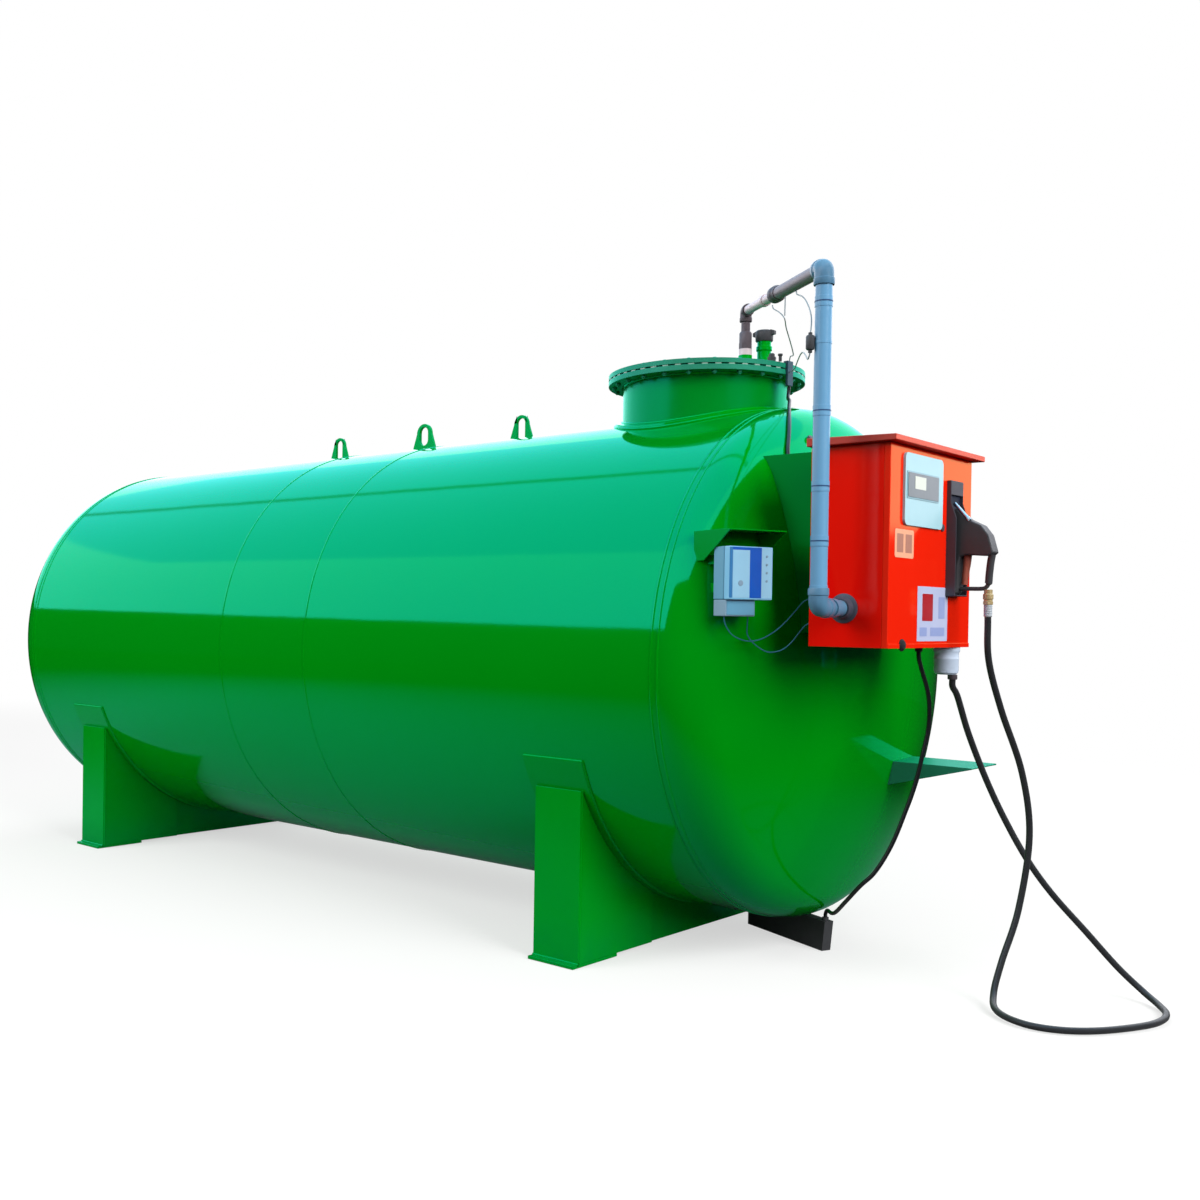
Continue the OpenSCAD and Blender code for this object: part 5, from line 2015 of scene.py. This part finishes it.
@dataclass(frozen=True)
class NozzleSet:
    """Boot, automatic nozzle, spout, lever, swivel and the filter under the cabinet."""

    thick: float = 0.056
    rounding_mm: float = 7.0
    can_radius: float = 0.0405
    pivot_radius: float = 0.0115
    guard_radius: float = 0.0068
    rib_radius: float = 0.0035
    lever_radius: float = 0.0135
    lever_taper: float = 0.0002
    spout_side: float = -0.046

    def flat(self, across: float) -> Matrix:
        """Place a flat outline, X from the cabinet's front and Y up from the boot's foot.

        Args:
            across: Width of what is centred on the boot. The flat lies on its far face.

        Returns:
            The flat's place.
        """
        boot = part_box("nozzle_boot")
        y = (boot[0].y + boot[1].y) / 2 + across / 2
        return Matrix(((1, 0, 0, boot[0].x), (0, 0, -1, y), (0, 1, 0, boot[0].z), (0, 0, 0, 1)))

    def build(self) -> None:
        """Build all the pieces around the nozzle."""
        self.boot()
        self.body()
        self.spout()
        self.lever()
        self.swivel()
        self.filter()

    def boot(self) -> None:
        """Dress the boot and lay a dark sheet in its pocket as painted shade."""
        dress(("nozzle_boot",), BOOT_LINER, 2.0)
        low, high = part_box("nozzle_boot")
        back, face, side, rim = 0.0042, 0.0065, 0.006, 0.012
        # A dark sheet in the pocket: painted shade.
        pocket_shade = Shape()
        pocket_shade.block((low.x + back, low.y + side, low.z + 0.20), (low.x + face, high.y - side, high.z - rim))
        present("boot_pocket_shade_sheet", pocket_shade, BOOT_POCKET_SHADE, 0.8)

    def body(self) -> None:
        """Build the nozzle's rounded body, its guard and its scuff ribs."""
        body = Shape()
        outline = [
            (14, 284), (24, 284), (58, 250), (102, 228), (126, 196), (142, 140), (130, 131), (101, 131),
            (60, 134), (38, 128), (30, 100), (30, 40), (26, 12), (14, 4),
        ]
        body.prism([(x * MM, y * MM) for x, y in outline], self.flat(self.thick), self.thick)
        piece = present("nozzle_body", body, BLACK_NYLON, stands_for=["nozzle"])
        round_edges(piece, self.rounding_mm, segments=4)
        guard = Shape()
        place = self.flat(0)
        rail = [(130, 134), (126, 110), (122, 70), (120, 42), (112, 29), (98, 25), (60, 25), (28, 24)]
        path = curve_through([place @ Vector((x * MM, y * MM, 0)) for x, y in rail], 5)
        thick_until = 16
        radii = [self.pivot_radius if k < thick_until else self.guard_radius for k in range(len(path))]
        guard.tube(path, radii, 14)
        present("nozzle_guard", guard, BLACK_NYLON)
        self.ribs()

    def ribs(self) -> None:
        """Raise the grip ribs along the back of the nozzle's cover."""
        ribs = Shape()
        for k in range(5):
            t = k / 4
            x, z = 62 + 52 * t, 246 - 44 * t
            middle = self.flat(0) @ Vector((x * MM, z * MM, 0))
            row = [middle + Vector((0, w * MM, -0.004)) for w in (-22, -11, 0, 11, 22)]
            ribs.tube(row, self.rib_radius, 10)
        present("nozzle_ribs", ribs, BLACK_NYLON)

    def spout(self) -> None:
        """Build the bright spout with its splash collar."""
        place = self.flat(self.spout_side)
        start = place @ Vector((66 * MM, 243 * MM, 0))
        end = place @ Vector((14 * MM, 303 * MM, 0))
        way = (end - start).normalized()
        length = (end - start).length
        spout = Shape()
        spout.lathe(
            [
                (0, 0), (0.0075, 0), (0.0075, 0.014), (0.006, 0.017), (0.006, length - 0.002),
                (0.005, length), (0, length),
            ],
            start, way, 32,
        )
        present("spout_tube", spout, DRAWN_ALUMINIUM, 0.5, stands_for=["nozzle_spout"])

    def lever(self) -> None:
        """Build the trigger lever in the guard."""
        lever = Shape()
        place = self.flat(0)
        bow = ((52, 138), (50, 108), (46, 76), (43, 38))
        path = curve_through([place @ Vector((x * MM, z * MM, 0)) for x, z in bow], 6)
        lever.tube(path, [self.lever_radius - self.lever_taper * k for k in range(len(path))], 16)
        present("trigger_lever", lever, LEVER_NYLON, stands_for=["nozzle_lever"])

    def swivel(self) -> None:
        """Build the brass swivel and the pale crimped ferrule on the hose."""
        low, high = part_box("hose_swivel")
        foot = Vector(((low.x + high.x) / 2, (low.y + high.y) / 2, low.z))
        brass = Shape()
        brass.lathe([(0, 0.040), (0.0165, 0.040), (0.0165, 0.050), (0, 0.050)], foot, UP, 6)
        brass.lathe(
            [
                (0, 0.050), (0.0135, 0.050), (0.0135, 0.056), (0.0158, 0.058), (0.0158, 0.072),
                (0.013, 0.075), (0.013, 0.088), (0, 0.088),
            ],
            foot, UP, 32,
        )
        present("swivel_brass", brass, TURNED_BRASS, 0.4, stands_for=["hose_swivel"])
        ferrule = Shape()
        profile = [(0.0108, 0.0)]
        for k in range(5):
            z = 0.003 + 0.0075 * k
            profile += [(0.0130, z), (0.0130, z + 0.004), (0.0122, z + 0.0055)]
        profile += [(0.0130, 0.0395), (0.0, 0.0415)]
        ferrule.lathe([(0, 0), *profile], foot, UP, 36)
        present("hose_ferrule", ferrule, ZINC_STEEL, 0.3)

    def filter(self) -> None:
        """Build the spin-on filter: its head, the rolled can and the outlet elbow for the hose."""
        low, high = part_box("filter")
        foot = Vector(((low.x + high.x) / 2, (low.y + high.y) / 2, high.z))
        r = self.can_radius
        can = Shape()
        can.lathe(
            [
                (0, 0), (r + 0.002, 0), (r + 0.0025, 0.004), (r + 0.0025, 0.013), (r + 0.001, 0.016),
                (r - 0.001, 0.020), (r - 0.001, 0.036), (r, 0.038), (r, 0.040), (r - 0.001, 0.042),
                (r - 0.001, 0.078), (r - 0.003, 0.086), (r - 0.010, 0.092), (0, 0.092),
            ],
            foot, -UP, 56,
        )
        present("filter_can", can, FILTER_ENAMEL, 0.4, stands_for=["filter"])
        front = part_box("cabinet_front")[1].x
        outlet = Vector((front - 0.022, foot.y, low.z))
        fitting = Shape()
        fitting.lathe(
            [(0, -0.002), (0.0145, -0.002), (0.0155, 0.001), (0.0155, 0.014), (0, 0.014)], outlet, UP, 32
        )
        present("filter_outlet", fitting, DARK_ZINC, 0.4)


# ---- Leak detector and shelf ----


@dataclass(frozen=True)
class LeakDetector:
    """Leak detector: a rounded case with printed fields, its terminal box and the steel hood."""

    turn: float = -22.0
    origin: tuple[float, float] = (0.231, -0.805)
    front: float = 0.078
    left: float = -0.090
    width: float = 0.168
    lid_depth: float = 0.030
    terminal_share: float = 0.68
    lamps: int = 4
    lamp_step: float = 0.026

    def place(self) -> Matrix:
        """Give the case's own frame, X out of its front.

        Returns:
            Its place.
        """
        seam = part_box("outer_shell_front")[1].x
        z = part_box("detector_case")[0].z
        at = Vector((seam + self.origin[0], self.origin[1], z))
        return Matrix.Translation(at) @ Matrix.Rotation(math.radians(self.turn), 4, "Z")

    def field(self, name: str, start: float, end: float, low: float, high: float, finish: Finish) -> None:
        """Print one upright field on the front, start and end as shares of the width.

        Args:
            name: The piece's name.
            start: Its left edge.
            end: Its right edge.
            low: Its foot above the case's.
            high: Its top above the case's foot.
            finish: Its ink.
        """
        place = self.place()
        shape = Shape()
        a, b = self.left + start * self.width, self.left + end * self.width
        shape.block((self.front - 0.0005, a, low), (self.front + 0.0012, b, high), place)
        present(name, shape, finish, 0.5)

    def build(self) -> None:
        """Build the case, its fields and the terminal box, and dress the hood."""
        dress(("detector_hood",), STEEL_ENAMEL, 1.0)
        place = self.place()
        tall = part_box("detector_case")[1].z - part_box("detector_case")[0].z
        case = Shape()
        case.block((-0.006, self.left, 0), (self.front - self.lid_depth, self.left + self.width, tall), place)
        # The back and sides take the darker copy of the case's blue: painted shade.
        present("detector_back", case, CASE_SIDE_SHADE, 4.0, stands_for=["detector_case"])
        lid = Shape()
        back = self.front - self.lid_depth + 0.001
        lid.block((back, self.left, 0), (self.front, self.left + self.width, tall), place)
        present("detector_lid", lid, CASE_ABS, 4.0)
        self.field("detector_field_left", 0.0, 0.07, 0.006, tall - 0.003, CASE_DEEP)
        self.field("detector_field_white", 0.07, 0.46, 0.006, tall - 0.012, CASE_WHITE)
        self.field("detector_field_blue", 0.46, 0.73, 0.006, tall - 0.003, CASE_BLUE)
        self.field("detector_field_top", 0.07, 0.46, tall - 0.012, tall - 0.003, CASE_BLUE)
        self.field("detector_field_side", 0.73, 0.97, 0.006, tall - 0.003, CASE_WHITE)
        self.marks(tall)
        self.terminals()

    def marks(self, tall: float) -> None:
        """Set the small lamps on the side field and the button on the white one.

        Args:
            tall: The case's height.
        """
        place = self.place()
        out = place.to_3x3() @ Vector((1, 0, 0))
        proud = self.front + 0.0008
        lamps = Shape()
        for k in range(self.lamps):
            at = place @ Vector((proud, self.left + 0.85 * self.width, tall - 0.030 - self.lamp_step * k))
            lamps.lathe([(0, 0), (0.004, 0), (0.004, 0.002), (0, 0.003)], at, out, 20)
        at = place @ Vector((proud, self.left + 0.25 * self.width, 0.052))
        lamps.lathe([(0, 0), (0.009, 0), (0.009, 0.002), (0, 0.003)], at, out, 24)
        present("detector_lamps", lamps, TERMINAL_ABS)

    def terminals(self) -> None:
        """Build the terminal box under the case, with its lid."""
        low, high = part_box("detector_terminals")
        place = self.place()
        drop = high.z - low.z
        box = Shape()
        wide = self.terminal_share * self.width
        box.block((-0.006, -0.088, -drop), (0.058, -0.088 + wide, 0), place)
        present("terminal_box", box, TERMINAL_ABS, 3.0, stands_for=["detector_terminals"])
        lid = Shape()
        lid.block((0.058, -0.084, -drop + 0.004), (0.0605, -0.092 + wide, -0.004), place)
        # The terminal lid takes the same darker copy: painted shade.
        present("terminal_lid", lid, CASE_SIDE_SHADE, 1.0)


@dataclass(frozen=True)
class Shelf:
    """The small bracket shelf on the front head."""

    def build(self) -> None:
        """Dress the shelf."""
        dress(("shelf",), FLANGE_ENAMEL, 1.0)


def main() -> None:
    """Build the whole scene, camera and cords first."""
    logging.basicConfig(level=logging.INFO, format="%(message)s")
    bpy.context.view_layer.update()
    Studio().build()
    Cords().build()
    dress(("cable_box",), BLACK_NYLON, 3.0)
    TankShell().build()
    for end in End:
        Saddle(end).build()
    Manway().build()
    LiftingLugs().build()
    FillValve().build()
    SuctionLine().build()
    SensorCables().build()
    Cabinet().build()
    NozzleSet().build()
    LeakDetector().build()
    Shelf().build()


if __name__ == "__main__":
    main()
